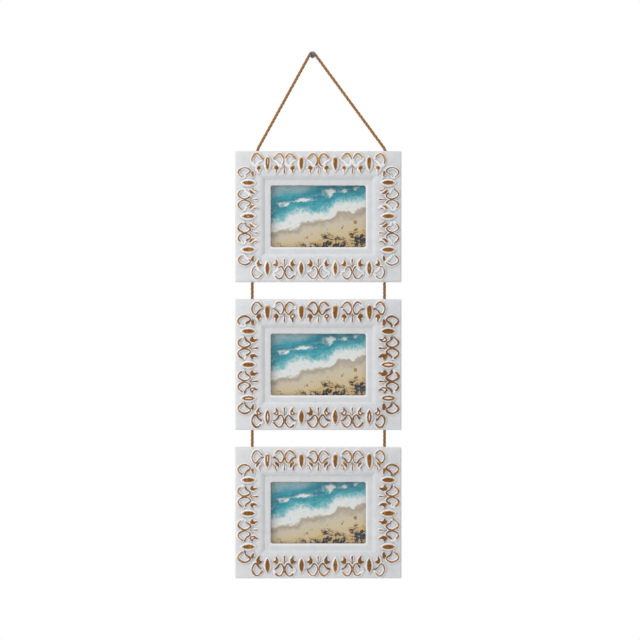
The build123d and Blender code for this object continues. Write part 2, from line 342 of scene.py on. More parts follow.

# %% [markdown]
# Between the raised forms the white is painted grey, as painted shade in the hollows. Ambient occlusion
# finds such hollows: it measures how much of the sky over a point is covered by near surfaces. The group
# turns that into a mask, and noise makes the painted shade uneven.

# %% Group: painted shade in hollows
hollow_shade, takes, gives = open_group(
    "painted_shade_in_hollows", [("Vector", "Vector"), ("Reach", "Float"), ("Paint", "Color"), ("Wash", "Color")],
    [("Color", "Color")])
openness = place_node(hollow_shade, "ShaderNodeAmbientOcclusion", {"samples": 8}, Distance=takes["Reach"])
occluded = fall(hollow_shade, openness.outputs["AO"], 0.1, 0.97)
patchy = ramp(hollow_shade, noise(hollow_shade, takes["Vector"], scale=300.0), 0.25, 0.75, to_low=0.75)
share = calc(hollow_shade, "MULTIPLY", occluded, patchy)
close_group(hollow_shade, gives, Color=blend_colour(hollow_shade, share, takes["Paint"], takes["Wash"]))

# %% [markdown]
# Rope yarn and pressed hardboard both show fibres, as coarse and fine streaks. On the rope the group is
# given coordinates that run with the yarn, so the streaks are long one way. On the board they lie every
# way.

# %% Group: fibres
fibres, takes, gives = open_group(
    "fibres", [("Vector", "Vector"), ("Scale", "Float")], [("Streak", "Float"), ("Height", "Float")])
place = takes["Vector"]
coarse = noise(fibres, place, takes["Scale"], detail=4.0, rough=0.65)
fine_scale = calc(fibres, "MULTIPLY", takes["Scale"], 3.7)
fine = noise(fibres, place, fine_scale, rough=0.6)
both = weigh(fibres, coarse, 0.65, fine, 0.35)
close_group(fibres, gives, Streak=ramp(fibres, both, 0.34, 0.66), Height=both)

# %% [markdown]
# Small steel parts are never evenly bright. Plating and handling leave cloudy patches and fine pits,
# which change the roughness more than the colour.

# %% Group: handled metal
handled, takes, gives = open_group(
    "handled_metal", [("Vector", "Vector"), ("Size", "Float")], [("Cloud", "Float"), ("Height", "Float")])
place = takes["Vector"]
cloud_scale = calc(handled, "DIVIDE", 1.0, takes["Size"])
cloud = noise(handled, place, cloud_scale, detail=5.0, rough=0.65)
pit_scale = calc(handled, "MULTIPLY", cloud_scale, 6.0)
pits = noise(handled, place, pit_scale, detail=2.0, rough=0.5)
pit_height = calc(handled, "MULTIPLY", pits, 0.3)
height = calc(handled, "ADD", cloud, pit_height)
close_group(handled, gives, Cloud=ramp(handled, cloud, 0.3, 0.7), Height=height)

# %% [markdown]
# Jute is a dull golden brown fibre with a soft sheen. The strands store a yarn coordinate that winds
# round them, so the fibre streaks follow the twist. Low places between the strands are painted darker,
# as painted shade.

# %% Finish: jute
jute, tree = open_finish("jute")
yarn = stored(tree, "yarn", "Vector")
strand_fibres = use_group(tree, fibres, Vector=yarn, Scale=2.4)
dark_brown, golden_brown = (0.265, 0.10, 0.026, 1), (0.55, 0.265, 0.085, 1)
streak = blend_colour(tree, strand_fibres["Streak"], dark_brown, golden_brown)
faded = ramp(tree, noise(tree, yarn, scale=0.5, detail=2.0), 0.35, 0.7)
streak = blend_colour(tree, faded, streak, (0.41, 0.205, 0.068, 1))
# points low between the strands are blended to a dark brown: painted shade
out_of_shade = ramp(tree, stored(tree, "crown"), 0.15, 0.85)
jute_colour = blend_colour(tree, out_of_shade, (0.14, 0.053, 0.015, 1), streak)
fill_shader(jute, Base_Color=jute_colour, Roughness=0.82, Sheen_Weight=0.25, Sheen_Roughness=0.5,
            Specular_IOR_Level=0.25,
            Normal=bump(tree, strand_fibres["Height"], distance=0.0006, strength=0.9))

# %% [markdown]
# The real rope is one length: up the left side behind the three frames, over the nail and down the right
# side. It is drawn as one smooth spline with the points that the model uses as its controls, one of them
# near each end of a long straight stretch, so that the turn over the nail stays tight. Strand points are
# then read back from it.

# %% Route of the rope
ROPE_Y, ROPE_D = -3.1, 4.0
LEFT_SIDE = [(-90.5, -778), (-90.5, -660), (-90.5, -366), (-90.5, -342), (-89.6, -318.4), (-83.4, -152.7),
             (-83, -142.7), (-78.2, -133.9)]
OVER_NAIL = [(-14.99, -19.15), (-6.31, -3.38), (-2.39, 3.75), (1.87, 4.03), (6.70, -2.52), (17.38, -17.01)]
RIGHT_SIDE = [(104.1, -134.7), (110, -142.7), (109.9, -152.7), (108.7, -318.4), (108.5, -342),
              (108.5, -366), (108.5, -660), (108.5, -778)]
ROUTE_FINENESS = 300
route_data = bpy.data.curves.new("rope_route", "CURVE")
route_data.dimensions = "3D"
route_data.resolution_u = ROUTE_FINENESS
spline = route_data.splines.new("NURBS")
route = LEFT_SIDE + OVER_NAIL + RIGHT_SIDE
spline.points.add(len(route) - 1)
for point, (x, z) in zip(spline.points, route):
    point.co = (x * MM, ROPE_Y * MM, z * MM, 1)
spline.order_u = 3
spline.use_endpoint_u = True
spline.resolution_u = ROUTE_FINENESS
route_object = bpy.data.objects.new("rope_route", route_data)
line_mesh = bpy.data.meshes.new_from_object(route_object)
rope_line = [vertex.co.copy() for vertex in line_mesh.vertices]
bpy.data.objects.remove(route_object)
print("points read from the route:", len(rope_line))

# %% [markdown]
# Three strands are laid round the line like the threads of a screw. Rings are set on the points that lie
# at least a short step apart, and the distance along the line turns the strands, so neighbouring lengths
# of rope meet with the strands in step. The lay drifts and the strands swell a little, as in spun fibre.

# %% Strands along a stretch of the route
RING_STEP, LAY_LENGTH, YARN_TURN, YARN_STRETCH, YARN_APART = 0.75, 19.0, 9.0, 5.0, 7.0
STRANDS, STRAND_SIDES, STRAND_OFFSET, STRAND_R = 3, 10, 0.84, 1.45
# share of a turn that the lay drifts by, and how fast that changes along the rope
LAY_DRIFTS = ((0.07, 0.061), (0.04, 0.173))
SWELL, QUICK_SWELL, SLOW_SWELL, STRAND_PHASE = 0.05, 0.83, 0.29, 2.1
TOWARDS_ROOM = Vector((0, -1, 0))

stations = []
distance = 0.0
for before, point in zip(rope_line[:1] + rope_line, rope_line):
    distance += (point - before).length / MM
    if not stations or distance - stations[-1][0] >= RING_STEP:
        stations.append((distance, point))
print("rope length", round(distance, 1), "mm in", len(stations), "rings")


def line_direction(index):
    """Unit direction of the rope at one of its stations."""
    before = stations[max(index - 1, 0)][1]
    after = stations[min(index + 1, len(stations) - 1)][1]
    return (after - before).normalized()


def strand_rings(first, last, strand):
    """Rings of one strand between two stations, its yarn coordinate and how far each point stands out."""
    rings, yarn_row, crown_row = [], [], []
    for index in range(first, last + 1):
        along, point = stations[index]
        across = line_direction(index).cross(TOWARDS_ROOM)
        drift = sum(size * math.sin(along * pace) for size, pace in LAY_DRIFTS)
        turn = 2 * math.pi * (along / LAY_LENGTH + drift + strand / STRANDS)
        outward = TOWARDS_ROOM * math.cos(turn) + across * math.sin(turn)
        aside = across * math.cos(turn) - TOWARDS_ROOM * math.sin(turn)
        centre = point + outward * STRAND_OFFSET * MM
        quick = math.sin(along * QUICK_SWELL + strand * STRAND_PHASE)
        swell = 1 + SWELL * quick * math.sin(along * SLOW_SWELL + strand)
        ring = []
        for side in range(STRAND_SIDES):
            angle = 2 * math.pi * side / STRAND_SIDES
            spoke = outward * math.cos(angle) + aside * math.sin(angle)
            ring.append(centre + spoke * STRAND_R * swell * MM)
            wound = angle + 2 * math.pi * along / YARN_TURN
            yarn_row.append((math.cos(wound), math.sin(wound), along / YARN_STRETCH + YARN_APART * strand))
            crown_row.append(0.5 + 0.5 * math.cos(angle))
        rings.append(ring)
    return rings, {"yarn": yarn_row, "crown": crown_row}


# %% [markdown]
# Loose fibre ends stand off any jute rope. Each is a thin three-sided spike that starts inside a strand
# and bends along the rope. They are few and short, so that the outline stays that of a rope.

# %% Loose fibres
FUZZ_SPACING, FUZZ_R, FUZZ_ROOT, FUZZ_BEND, FUZZ_FROM_END = 1.7, 0.045, 1.5, 1.6, 2
FUZZ_REACH, FUZZ_LEAN = (0.8, 1.7), (0.5, 1.6)
FUZZ_SHARES, FUZZ_TAPER, FUZZ_SIDES = (0.0, 0.4, 0.75, 1.0), 1.02, (0, 2.1, 4.2)


def loose_fibre(first, last, chance):
    """One spike from a station between two others, leaning along the rope."""
    index = chance.randint(first + FUZZ_FROM_END, last - FUZZ_FROM_END)
    reach = chance.uniform(*FUZZ_REACH)
    along, point = stations[index]
    forward = line_direction(index) * chance.choice((-1, 1))
    across = forward.cross(TOWARDS_ROOM)
    turn = chance.uniform(0, 2 * math.pi)
    outward = TOWARDS_ROOM * math.cos(turn) + across * math.sin(turn)
    aside = outward.cross(forward)
    lean = chance.uniform(*FUZZ_LEAN)
    rings = []
    for share in FUZZ_SHARES:
        bent = forward * lean * reach * share ** FUZZ_BEND
        centre = point + (outward * (FUZZ_ROOT + reach * share) + bent) * MM
        thick = FUZZ_R * (FUZZ_TAPER - share) * MM
        rings.append([centre + (aside * math.cos(a) + forward * math.sin(a)) * thick for a in FUZZ_SIDES])
    count = len(FUZZ_SHARES) * len(FUZZ_SIDES)
    return rings, {"yarn": [(along, turn, 0.0)] * count, "crown": [1.0] * count}


def rope_stretch(name, first, last):
    """Mesh of the strands and loose fibres from one station to another."""
    chance = random.Random(name)
    skins = [strand_rings(first, last, strand) for strand in range(STRANDS)]
    count = int((stations[last][0] - stations[first][0]) / FUZZ_SPACING)
    skins += [loose_fibre(first, last, chance) for _ in range(count)]
    return build_mesh(name, skins, ("yarn", "crown"))


# %% [markdown]
# The rope bends at each frame's edge, so it is cut into lengths that each cross one bend: half a frame's
# back, the bend, and half of the free rope beyond.

# %% Rope lengths and the bends they cross
BEND_REACH, BEND_PAST_EDGE = 4.3, 2.3
TOP_BENDS = [TOP_CENTRE_Z + FRAME_H / 2 + BEND_PAST_EDGE - index * FRAME_PITCH for index in range(3)]
LOW_BENDS = [TOP_CENTRE_Z - FRAME_H / 2 - BEND_PAST_EDGE - index * FRAME_PITCH for index in range(2)]
CUTS = [TOP_CENTRE_Z - halves * FRAME_PITCH / 2 for halves in range(4)]
heights = [point.z / MM for _, point in stations]
top_index = heights.index(max(heights))


def station_at(z, side):
    """Station nearest to a height on the left or the right side."""
    span = range(top_index) if side == "left" else range(top_index, len(stations))
    return min(span, key=lambda index: abs(heights[index] - z))


def lay_rope(name, first, last, nodes):
    """One length of rope, with the bend that it crosses."""
    piece = add_piece(name, rope_stretch(name, first, last), jute)
    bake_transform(piece)
    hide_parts(*nodes)


lay_rope("rope_over_nail", station_at(CUTS[0], "left"), station_at(CUTS[0], "right"),
         ("hanger_rope", "top_back_rope_left", "top_back_rope_right"))
for side in ("left", "right"):
    marks = [station_at(z, side) for z in CUTS] + [0 if side == "left" else len(stations) - 1]
    plan = (
        ("upper_link", ("top_frame", "upper_link"), LOW_BENDS[0], f"upper_link_{side}", "object"),
        ("middle", ("upper_link", "middle_frame"), TOP_BENDS[1], f"middle_back_rope_{side}", "object"),
        ("lower_link", ("middle_frame", "lower_link"), LOW_BENDS[1], f"lower_link_{side}", "object"),
        ("bottom", ("lower_link", "bottom_frame"), TOP_BENDS[2], f"bottom_back_rope_{side}", "bare"),
    )
    for (label, bodies, bend_z, node, far_end), start, end in zip(plan, marks, marks[1:]):
        lay_rope(f"rope_{label}_{side}", min(start, end), max(start, end), (node,))

# %% [markdown]
# The moulding is white satin paint over pressed board. The paint covers the front and sides and thins out
# inside the window. The rabbet and the back are bare board. A stored value says where brown and painted
# light go: 1 is bare board, which the rubbed paint group gives a ragged edge, and below 0 an edge is
# painted whiter as a painted highlight. Grey painted shade lies in the hollows beside the relief.

# %% Finish: painted board
# reach and grey of the painted shade in the hollows
SHADE_REACH, SHADE_GREY = 0.009, (0.18, 0.176, 0.172, 1)


def paint_with_shade_and_rub(tree, spot, white, rub, gild, undercoat, gold):
    """White paint with painted shade in its hollows, rubbed through to its undercoat."""
    shaded_hollows = use_group(tree, hollow_shade, Vector=spot, Reach=SHADE_REACH, Paint=white, Wash=SHADE_GREY)
    return use_group(tree, rubbed, Vector=spot, Rub=rub, Gild=gild, Paint=shaded_hollows["Color"],
                     Undercoat=undercoat, Gold=gold)


painted, tree = open_finish("painted_board")
spot = object_spot(tree)
bare_and_painted_light = stored(tree, "bare_and_painted_light")
cast = use_group(tree, casting, Vector=spot, Peel_Size=0.0016)
tone = ramp(tree, cast["Tone"], 0.3, 0.7)
white = blend_colour(tree, tone, (0.70, 0.702, 0.713, 1), (0.755, 0.757, 0.768, 1))
# below zero the stored value lightens the white along the outer edge and the window's lip: painted
# highlight
white = blend_colour(tree, fall(tree, bare_and_painted_light, -0.8, -0.1), white, (0.90, 0.90, 0.91, 1))
coat = paint_with_shade_and_rub(tree, spot, white, bare_and_painted_light, 0.4, (0.33, 0.20, 0.135, 1), (0.45, 0.31, 0.21, 1))
fill_shader(painted, Base_Color=coat["Color"], Specular_IOR_Level=0.4,
            Roughness=ramp(tree, coat["Bare"], 0.0, 1.0, to_low=0.42, to_high=0.85),
            Normal=bump(tree, cast["Height"], distance=0.0004, strength=0.3))

# %% [markdown]
# A moulding is one section run round a rectangle. Each corner of the section is given as half the width
# and half the height of the loop it makes, its distance from the wall and its corner radius in plan.
# Corners are softened by a short curve, because thick paint rounds every edge and fills every inner
# corner.

# %% Moulding section
SOFT_STEPS, MOST_SOFTENED = 5, 0.45
SECTION = [
    #     half width, half height, out of the wall, corner radius, softening, bare board above 0 and painted
    #     highlight below 0, and painted shade added at top and left
    (125.0, 98.5, 0.0, 1.5, 0.5, 0.25, 0.0),
    (124.21, 97.71, 15.0, 1.5, 2.8, -0.3, 0.0),
    (86.5, 61.5, 15.0, 0.9, 3.4, 0.0, 0.0),
    (83.0, 58.0, 13.55, 1.0, 2.0, 0.0, 0.0),
    (80.75, 55.75, 11.9, 1.0, 0.3, 0.0, 0.0),
    (80.5, 55.5, 11.5, 1.0, 0.3, 0.0, 0.0),
    (76.0, 51.0, 11.5, 4.0, 0.5, 0.0, 0.0),
    (71.0, 46.0, 11.5, 3.2, 3.5, -0.9, 1.35),
    (71.0, 46.0, 8.0, 2.8, 2.0, 0.2, 0.7),
    (71.0, 46.0, 5.5, 2.8, 0.2, 1.0, 0.0),
    (76.7, 51.3, 5.5, 0.4, 0.2, 1.0, 0.0),
    (76.7, 51.3, 0.0, 0.4, 0.3, 1.0, 0.0),
    (118.0, 92.0, 0.0, 1.0, 1.0, 1.0, 0.0),
]


def between(first, second, share):
    """Section corner part of the way from one to another."""
    return [a + (b - a) * share for a, b in zip(first, second)]


def soften_section(corners):
    """The section again, with each corner turned into a short curve."""
    rows = []
    for index, corner in enumerate(corners):
        sides = []
        for other in (corners[index - 1], corners[(index + 1) % len(corners)]):
            length = math.dist(corner[:3], other[:3])
            sides.append(between(corner, other, min(MOST_SOFTENED, corner[4] / length)))
        for step in range(SOFT_STEPS):
            share = step / (SOFT_STEPS - 1)
            rows.append(between(between(sides[0], corner, share), between(corner, sides[1], share), share))
    return rows


SOFT_SECTION = soften_section(SECTION)
print("section", len(SECTION), "corners softened to", len(SOFT_SECTION), "points")

# %% [markdown]
# The softened section is run round the window as loops with round corners, and the skin is closed from
# the last loop to the first. On the window's round lip, where it faces down and right, away from the
# lamps, the bare board's brown is shown as a fine line: painted shade.

# %% Moulding run round its window
CORNER_STEPS = 6


def within(value, start, end, edge):
    """1 between two places, falling to 0 over an edge at each."""
    return max(0.0, min(1.0, (value - start) / edge, (end - value) / edge))


def rounded_loop(row):
    """Rectangle with round corners, and the stored value for bare board and painted light at its points."""
    half_w, half_h, out, radius, _, bare_and_light_here, top_left_shade = row
    loop, bare_and_light_row = [], []
    for corner, (side, up) in enumerate(((1, 1), (-1, 1), (-1, -1), (1, -1))):
        for step in range(CORNER_STEPS + 1):
            angle = math.pi / 2 * (corner + step / CORNER_STEPS)
            x = side * (half_w - radius) + radius * math.cos(angle)
            loop.append(on_face(x, up * (half_h - radius) + radius * math.sin(angle), out))
            # the lip's top and left sides get extra brown: painted shade where they face away from the
            # lamps
            top_or_left = within(angle, math.pi / 4, 5 * math.pi / 4, math.pi / 4)
            bare_and_light_row.append(bare_and_light_here + top_left_shade * top_or_left)
    return loop, bare_and_light_row


section = [rounded_loop(row) for row in SOFT_SECTION]
loops = [loop for loop, _ in section]
bare_and_light_places = [value for _, bare_and_light_row in section for value in bare_and_light_row]
moulding_mesh = build_mesh("moulding", [(loops, {"bare_and_painted_light": bare_and_light_places})], ("bare_and_painted_light",), endless=True)
for name in FRAME_NAMES:
    add_to_frame(name, "painted_moulding", "moulding", moulding_mesh, painted)

# %% [markdown]
# The relief is the piece that makes these frames: pairs of curled wings, pointed ovals between them, and
# buds and darts below. The cast forms have soft feet that run into the field, round tops, and brown
# undercoat where a cloth rubbed them. The finish reads the stored rub value; the mesh decides where a
# cloth would reach.

# %% Finish: rubbed relief
relief_finish, tree = open_finish("rubbed_relief")
spot = object_spot(tree)
cast = use_group(tree, casting, Vector=spot, Peel_Size=0.0012)
tone = ramp(tree, cast["Tone"], 0.3, 0.7)
# the relief's white is lighter than the moulding's white: a painted highlight
white = blend_colour(tree, tone, (0.83, 0.832, 0.84, 1), (0.89, 0.89, 0.895, 1))
# the hollows between the forms get painted shade, as on the moulding
coat = paint_with_shade_and_rub(tree, spot, white, stored(tree, "rub"), stored(tree, "gild"), (0.2, 0.076, 0.014, 1),
                  (0.54, 0.264, 0.053, 1))
fill_shader(relief_finish, Base_Color=coat["Color"], Specular_IOR_Level=0.3,
            Roughness=ramp(tree, coat["Bare"], 0.0, 1.0, to_low=0.45, to_high=0.55),
            Normal=bump(tree, cast["Height"], distance=0.0005, strength=0.5))

# %% [markdown]
# Outlines of the relief are drawn as a few points, along the rail and in from the outer edge. The curve
# between them passes through every point, unlike the rope's spline, so that a point can be measured on
# the real form and typed in.

# %% Smooth curve through points
def smooth_point(points, place, closed):
    """Point on the smooth curve through some points, at this place counted in points."""
    count = len(points)
    index = int(math.floor(place))
    share = place - index
    if closed:
        near = [points[(index + k) % count] for k in (-1, 0, 1, 2)]
    else:
        near = [points[min(max(index + k, 0), count - 1)] for k in (-1, 0, 1, 2)]
    out = []
    for a, b, c, d in zip(*near):
        bend = 2 * a - 5 * b + 4 * c - d
        out.append(b + 0.5 * share * (c - a + share * (bend + share * (3 * (b - c) + d - a))))
    return out


# %% [markdown]
# A wing is a broad, soft ridge that sweeps along its outline and starts and ends at the cusp. The cloth
# only reached its crest, so the brown is a line between white shoulders. How far a place lies inside the
# cloth's stroke gives its rub.

# %% Wing
RIDGE_W, RIDGE_H, WING_STEPS = 3.3, 2.35, 48
WING = [(17.6, 14.0), (15.6, 11.6), (13.4, 8.9), (10.8, 6.2), (7.6, 5.0), (4.5, 6.4), (1.9, 10.1),
        (0.45, 14.3), (1.2, 18.5), (3.1, 21.9), (5.6, 23.6), (8.2, 21.9), (10.1, 18.9), (12.1, 16.8),
        (14.6, 15.5), (17.2, 14.4)]
# the curve ends just short of its last point
WING_PART = 0.9999
# offset across the ridge and height, from the left foot to the crest
RIDGE_SIDE = [(-1.0, -0.45), (-1.0, 0.0), (-0.95, 0.19), (-0.86, 0.38), (-0.73, 0.59), (-0.57, 0.78),
              (-0.4, 0.91), (-0.2, 0.985), (0.0, 1.0)]
RIDGE_PROFILE = RIDGE_SIDE + [(-across, height) for across, height in reversed(RIDGE_SIDE[:-1])]
# size of the ridge at its first and last end, and how fast it grows from there
FIRST_SIZE, FIRST_GROWTH, LAST_SIZE, LAST_GROWTH = 0.45, 4.0, 0.5, 1.6
RUB_STARTS, RUB_FADE, STROKE_EDGE = (-0.03, 0.12), 0.06, 0.45
STROKE_WAVER, WAVER_PACE, WAVER_PHASE = 0.2, 19, 6
GILD_AT_START = 1.2


def wiped_at(depth):
    """Rub at some millimetres inside the edge of the cloth's stroke: a half at the edge itself."""
    return min(1.0, max(0.0, 0.5 + STROKE_EDGE * depth))


WING_CURVE = [smooth_point(WING, (len(WING) - 1) * i / WING_STEPS * WING_PART, False)
              for i in range(WING_STEPS + 1)]


def wing(chance, stroke, gild, rub_end):
    """Ridge along a wing's outline, rubbed in a stroke of this half width up to this share of it."""
    rub_start = chance.uniform(*RUB_STARTS)
    phase = chance.uniform(0, WAVER_PHASE)
    rings, rub_row, gild_row = [], [], []
    for i, (u, v) in enumerate(WING_CURVE):
        before, after = WING_CURVE[max(i - 1, 0)], WING_CURVE[min(i + 1, WING_STEPS)]
        along = Vector((after[0] - before[0], after[1] - before[1])).normalized()
        share = i / WING_STEPS
        size = min(1.0, FIRST_SIZE + FIRST_GROWTH * share, LAST_SIZE + LAST_GROWTH * (1 - share))
        half = stroke * (1 + STROKE_WAVER * math.sin(share * WAVER_PACE + phase))
        reached = within(share, rub_start, rub_end, RUB_FADE)
        ring = []
        for across, height in RIDGE_PROFILE:
            shift = across * RIDGE_W * size
            ring.append((u - along.y * shift, v + along.x * shift, height * RIDGE_H * size))
            rub_row.append(wiped_at(half - abs(shift)) * reached)
            gild_row.append(gild * (GILD_AT_START - share))
        rings.append(ring)
    return rings, rub_row, gild_row


print("wing", len(WING_CURVE), "rings of", len(RIDGE_PROFILE), "points")

# %% [markdown]
# Ovals, buds and darts are mounds like small pillows: a steep foot and a broad top, so white paint shows
# all round the brown. Their outline shrinks towards a middle while it rises. They could be sculpted, but
# a few points can be read and changed. Only the oval is dished, as if pressed with a thumb.

# %% Outlines of ovals, buds and darts
OVAL_STEPS, LEAF_STEPS = 44, 44
OVAL_MIDDLE, OVAL_HALF_W, OVAL_HALF_L = (0.0, 20.4), 6.7, 13.6
BUD = [(5.9, 28.4), (6.6, 25.0), (8.8, 22.4), (11.8, 21.3), (14.6, 21.9), (16.8, 24.0), (19.4, 26.6),
       (17.0, 28.2), (15.4, 30.8), (14.4, 34.6), (13.2, 37.4), (10.6, 35.2), (7.6, 32.2)]
END_LEAF = [(6.0, 26.8), (7.2, 23.8), (10.2, 22.6), (13.6, 23.4), (16.6, 25.8), (19.3, 29.0), (15.8, 30.3),
            (12.0, 31.0), (8.4, 30.0)]
DART = [(0.0, 21.8), (1.2, 24.0), (2.6, 27.6), (3.7, 31.6), (3.2, 35.0), (0.0, 36.9), (-3.2, 35.0),
        (-3.7, 31.6), (-2.6, 27.6), (-1.2, 24.0)]
# size of the shrunk outline and height there, from under the field to the middle
FLANK = [(1.0, -0.45), (1.0, 0.0), (0.97, 0.23), (0.91, 0.45), (0.82, 0.65), (0.71, 0.82), (0.58, 0.94)]
PILLOW = FLANK + [(0.45, 0.99), (0.32, 1.0), (0.18, 1.0), (0.05, 1.0)]
DISHED = FLANK + [(0.47, 1.0), (0.37, 0.96), (0.25, 0.88), (0.14, 0.84), (0.05, 0.83)]


def oval_outline():
    """Pointed oval between two arcs."""
    radius = (OVAL_HALF_L ** 2 + OVAL_HALF_W ** 2) / (2 * OVAL_HALF_W)
    half_turn = math.asin(OVAL_HALF_L / radius)
    outline = []
    for side in (1, -1):
        for i in range(OVAL_STEPS // 2):
            turn = half_turn * (4 * i / OVAL_STEPS - 1)
            x = radius * math.cos(turn) - radius + OVAL_HALF_W
            outline.append((side * x, OVAL_MIDDLE[1] + side * radius * math.sin(turn)))
    return outline


def smooth_outline(points):
    """Closed smooth curve through a few points."""
    return [smooth_point(points, len(points) * i / LEAF_STEPS, True) for i in range(LEAF_STEPS)]


# outline, middle, height, profile, and how much of its shrinking a mound does along itself, for an even rim
OVAL_SHAPE = (oval_outline(), OVAL_MIDDLE, 2.7, DISHED, 0.65)
BUD_SHAPE = (smooth_outline(BUD), (11.9, 26.6), 2.35, PILLOW, 0.9)
END_LEAF_SHAPE = (smooth_outline(END_LEAF), (11.6, 26.8), 2.35, PILLOW, 0.9)
DART_SHAPE = (smooth_outline(DART), (0.0, 30.2), 1.95, PILLOW, 0.5)
print("mounds of", len(PILLOW), "and", len(DISHED), "rings")

# %% [markdown]
# Where the cloth went is drawn as a few strokes on each form, each with two ends and a half width at
# both. Rub marks could be painted by hand, but strokes keep their place on a form wherever it is set.

# %% Strokes of the cloth
# one end, the other end and the half width at each
OVAL_INNER_HALF = [((0.0, 20.4), (0.0, 25.8), 3.3, 2.5), ((0.0, 25.8), (0.0, 30.6), 2.5, 0.3)]
OVAL_OUTER_HALF = [((0.0, 20.4), (0.0, 15.0), 3.3, 2.5), ((0.0, 15.0), (0.0, 10.2), 2.5, 0.3)]
BLUNT_OUTER_HALF = [((0.0, 20.4), (0.0, 13.6), 3.3, 3.5)]
BLUNT_OVAL = [((0.0, 20.4), (0.0, 25.6), 3.4, 2.7), ((0.0, 25.6), (0.0, 28.9), 2.7, 1.0),
              ((0.0, 20.4), (0.0, 15.2), 3.4, 2.7), ((0.0, 15.2), (0.0, 11.9), 2.7, 1.0)]
DISC_STROKES = [((12.6, 25.6), (11.8, 26.6), 3.1, 3.1), ((16.2, 27.0), (12.6, 26.2), 0.7, 2.0),
                ((11.8, 28.0), (12.6, 34.0), 1.6, 0.6)]
SPLIT_STROKES = [((12.9, 23.2), (10.4, 25.0), 1.5, 2.1), ((10.4, 25.0), (8.6, 29.4), 2.1, 0.7),
                 ((16.9, 25.4), (13.8, 29.0), 0.7, 1.2), ((13.8, 29.0), (12.2, 34.2), 1.2, 0.5)]
BUD_STROKES = [((15.8, 26.2), (12.2, 25.8), 1.2, 3.1), ((12.2, 25.8), (11.0, 28.6), 3.1, 2.2),
               ((11.0, 28.6), (12.8, 34.2), 2.2, 0.5)]
END_LEAF_STROKES = [((9.8, 26.4), (14.8, 27.5), 2.3, 1.2)]
DART_STROKES = [((0.0, 22.6), (0.0, 33.8), 0.6, 1.45)]


def stroke_depth(point, strokes):
    """Millimetres inside the edge of the strokes, below zero outside."""
    depths = []
    for start, end, half_start, half_end in strokes:
        line, reach = Vector(end) - Vector(start), Vector(point) - Vector(start)
        share = max(0.0, min(1.0, reach.dot(line) / line.length_squared))
        depths.append(half_start + (half_end - half_start) * share - (reach - line * share).length)
    return max(depths)


bud_depth = stroke_depth(BUD_SHAPE[1], BUD_STROKES)
print("the middle of a bud lies", round(bud_depth, 1), "mm inside the cloth's strokes")

# %% [markdown]
# A mound is rings from its foot to its top, each the outline again but smaller. The depth inside the
# strokes gives the rub of every point, and the edge of a stroke is the most golden. On some forms paint
# was left in the middle, and in the notch of a bud the cloth pressed less.

# %% Mounds
STROKE_SPREAD = 1.6
BUD_NOTCH, NOTCH_REACH, NOTCH_DEPTH, NOTCH_RUB = (16.6, 30.0), 4.2, 0.45, 0.5
# the notch fades out towards the middle, from this size of the outline on
NOTCH_FROM, NOTCH_GROWTH = 0.2, 2.5
# depths inside a stroke past which paint was left, and the width of that edge
OVAL_BARE_TO, BUD_BARE_TO, ALL_BARE, LEFT_EDGE = 3.1, 2.6, 9.0, 0.5
# gold at a stroke's edge, its fall with depth, its least, and what nearness to the rail's outer edge adds
EDGE_GILD, GILD_FALL, LEAST_GILD, OUTER_GILD, OUTER_REACH = 1.4, 0.8, 0.3, 0.3, 15


def mound(shape, strokes, cloth, gild, notch=None, bare_to=ALL_BARE):
    """Rings from foot to top. A notch lowers the side near it, and past a depth paint is left."""
    outline, middle, height, profile, even = shape
    dips = [max(0.0, 1 - math.dist(point, notch) / NOTCH_REACH) if notch else 0.0 for point in outline]
    rings, rub_row, gild_row = [], [], []
    for across, rise in profile:
        along = 1 - (1 - across) * even
        ring = []
        for (u, v), dip in zip(outline, dips):
            dip *= min(1.0, max(0.0, across - NOTCH_FROM) * NOTCH_GROWTH)
            out = rise * height * (1 - NOTCH_DEPTH * dip * max(0.0, rise))
            u, v = middle[0] + (u - middle[0]) * across, middle[1] + (v - middle[1]) * along
            ring.append((u, v, out))
            depth = stroke_depth((u, v), strokes) + STROKE_SPREAD * (cloth - 1)
            taken = max(0.0, min(1.0, (bare_to - depth) / LEFT_EDGE))
            rub_row.append(wiped_at(depth) * taken * (1 - NOTCH_RUB * dip))
            golden = EDGE_GILD - GILD_FALL * depth + OUTER_GILD * max(0.0, OUTER_REACH - v)
            gild_row.append(gild * max(LEAST_GILD, min(1.0, golden)))
        rings.append(ring)
    return rings, rub_row, gild_row


# %% [markdown]
# Each frame was rubbed in its own way: the top one lightly, with gold along its top rail, and the lower
# two harder and browner. So the wear is written down for every rail, as it would be told to the person
# with the cloth.

# %% Wear of each frame
# for the top, left, bottom and right rail: half width of a stroke on a wing, how golden it is, how hard the
# cloth pressed elsewhere, how golden that is, and the least share of a wing that the cloth went along
WEAR = {
    "top": [(1.3, 0.95, 0.94, 0.9, 0.4), (1.1, 0.6, 1.04, 0.8, 0.68), (1.02, 0.5, 1.05, 0.85, 0.7),
            (1.03, 0.4, 1.08, 0.7, 0.68)],
    "middle": [(1.25, 0.5, 1.25, 0.6, 0.9), (1.34, 0.5, 1.25, 0.6, 0.85), (1.3, 0.4, 1.28, 0.55, 0.9),
               (1.6, 0.35, 1.6, 0.45, 0.9)],
    "bottom": [(1.15, 0.65, 1.12, 0.7, 0.88), (1.25, 0.65, 1.16, 0.7, 0.85), (1.2, 0.55, 1.28, 0.6, 0.88),
               (1.35, 0.6, 1.36, 0.65, 0.88)],
}
BUD_RUBS = {
    "top": (DISC_STROKES, SPLIT_STROKES, BUD_STROKES, SPLIT_STROKES),
    "middle": (DISC_STROKES, BUD_STROKES, BUD_STROKES, BUD_STROKES),
    "bottom": (SPLIT_STROKES, BUD_STROKES, BUD_STROKES, BUD_STROKES),
}
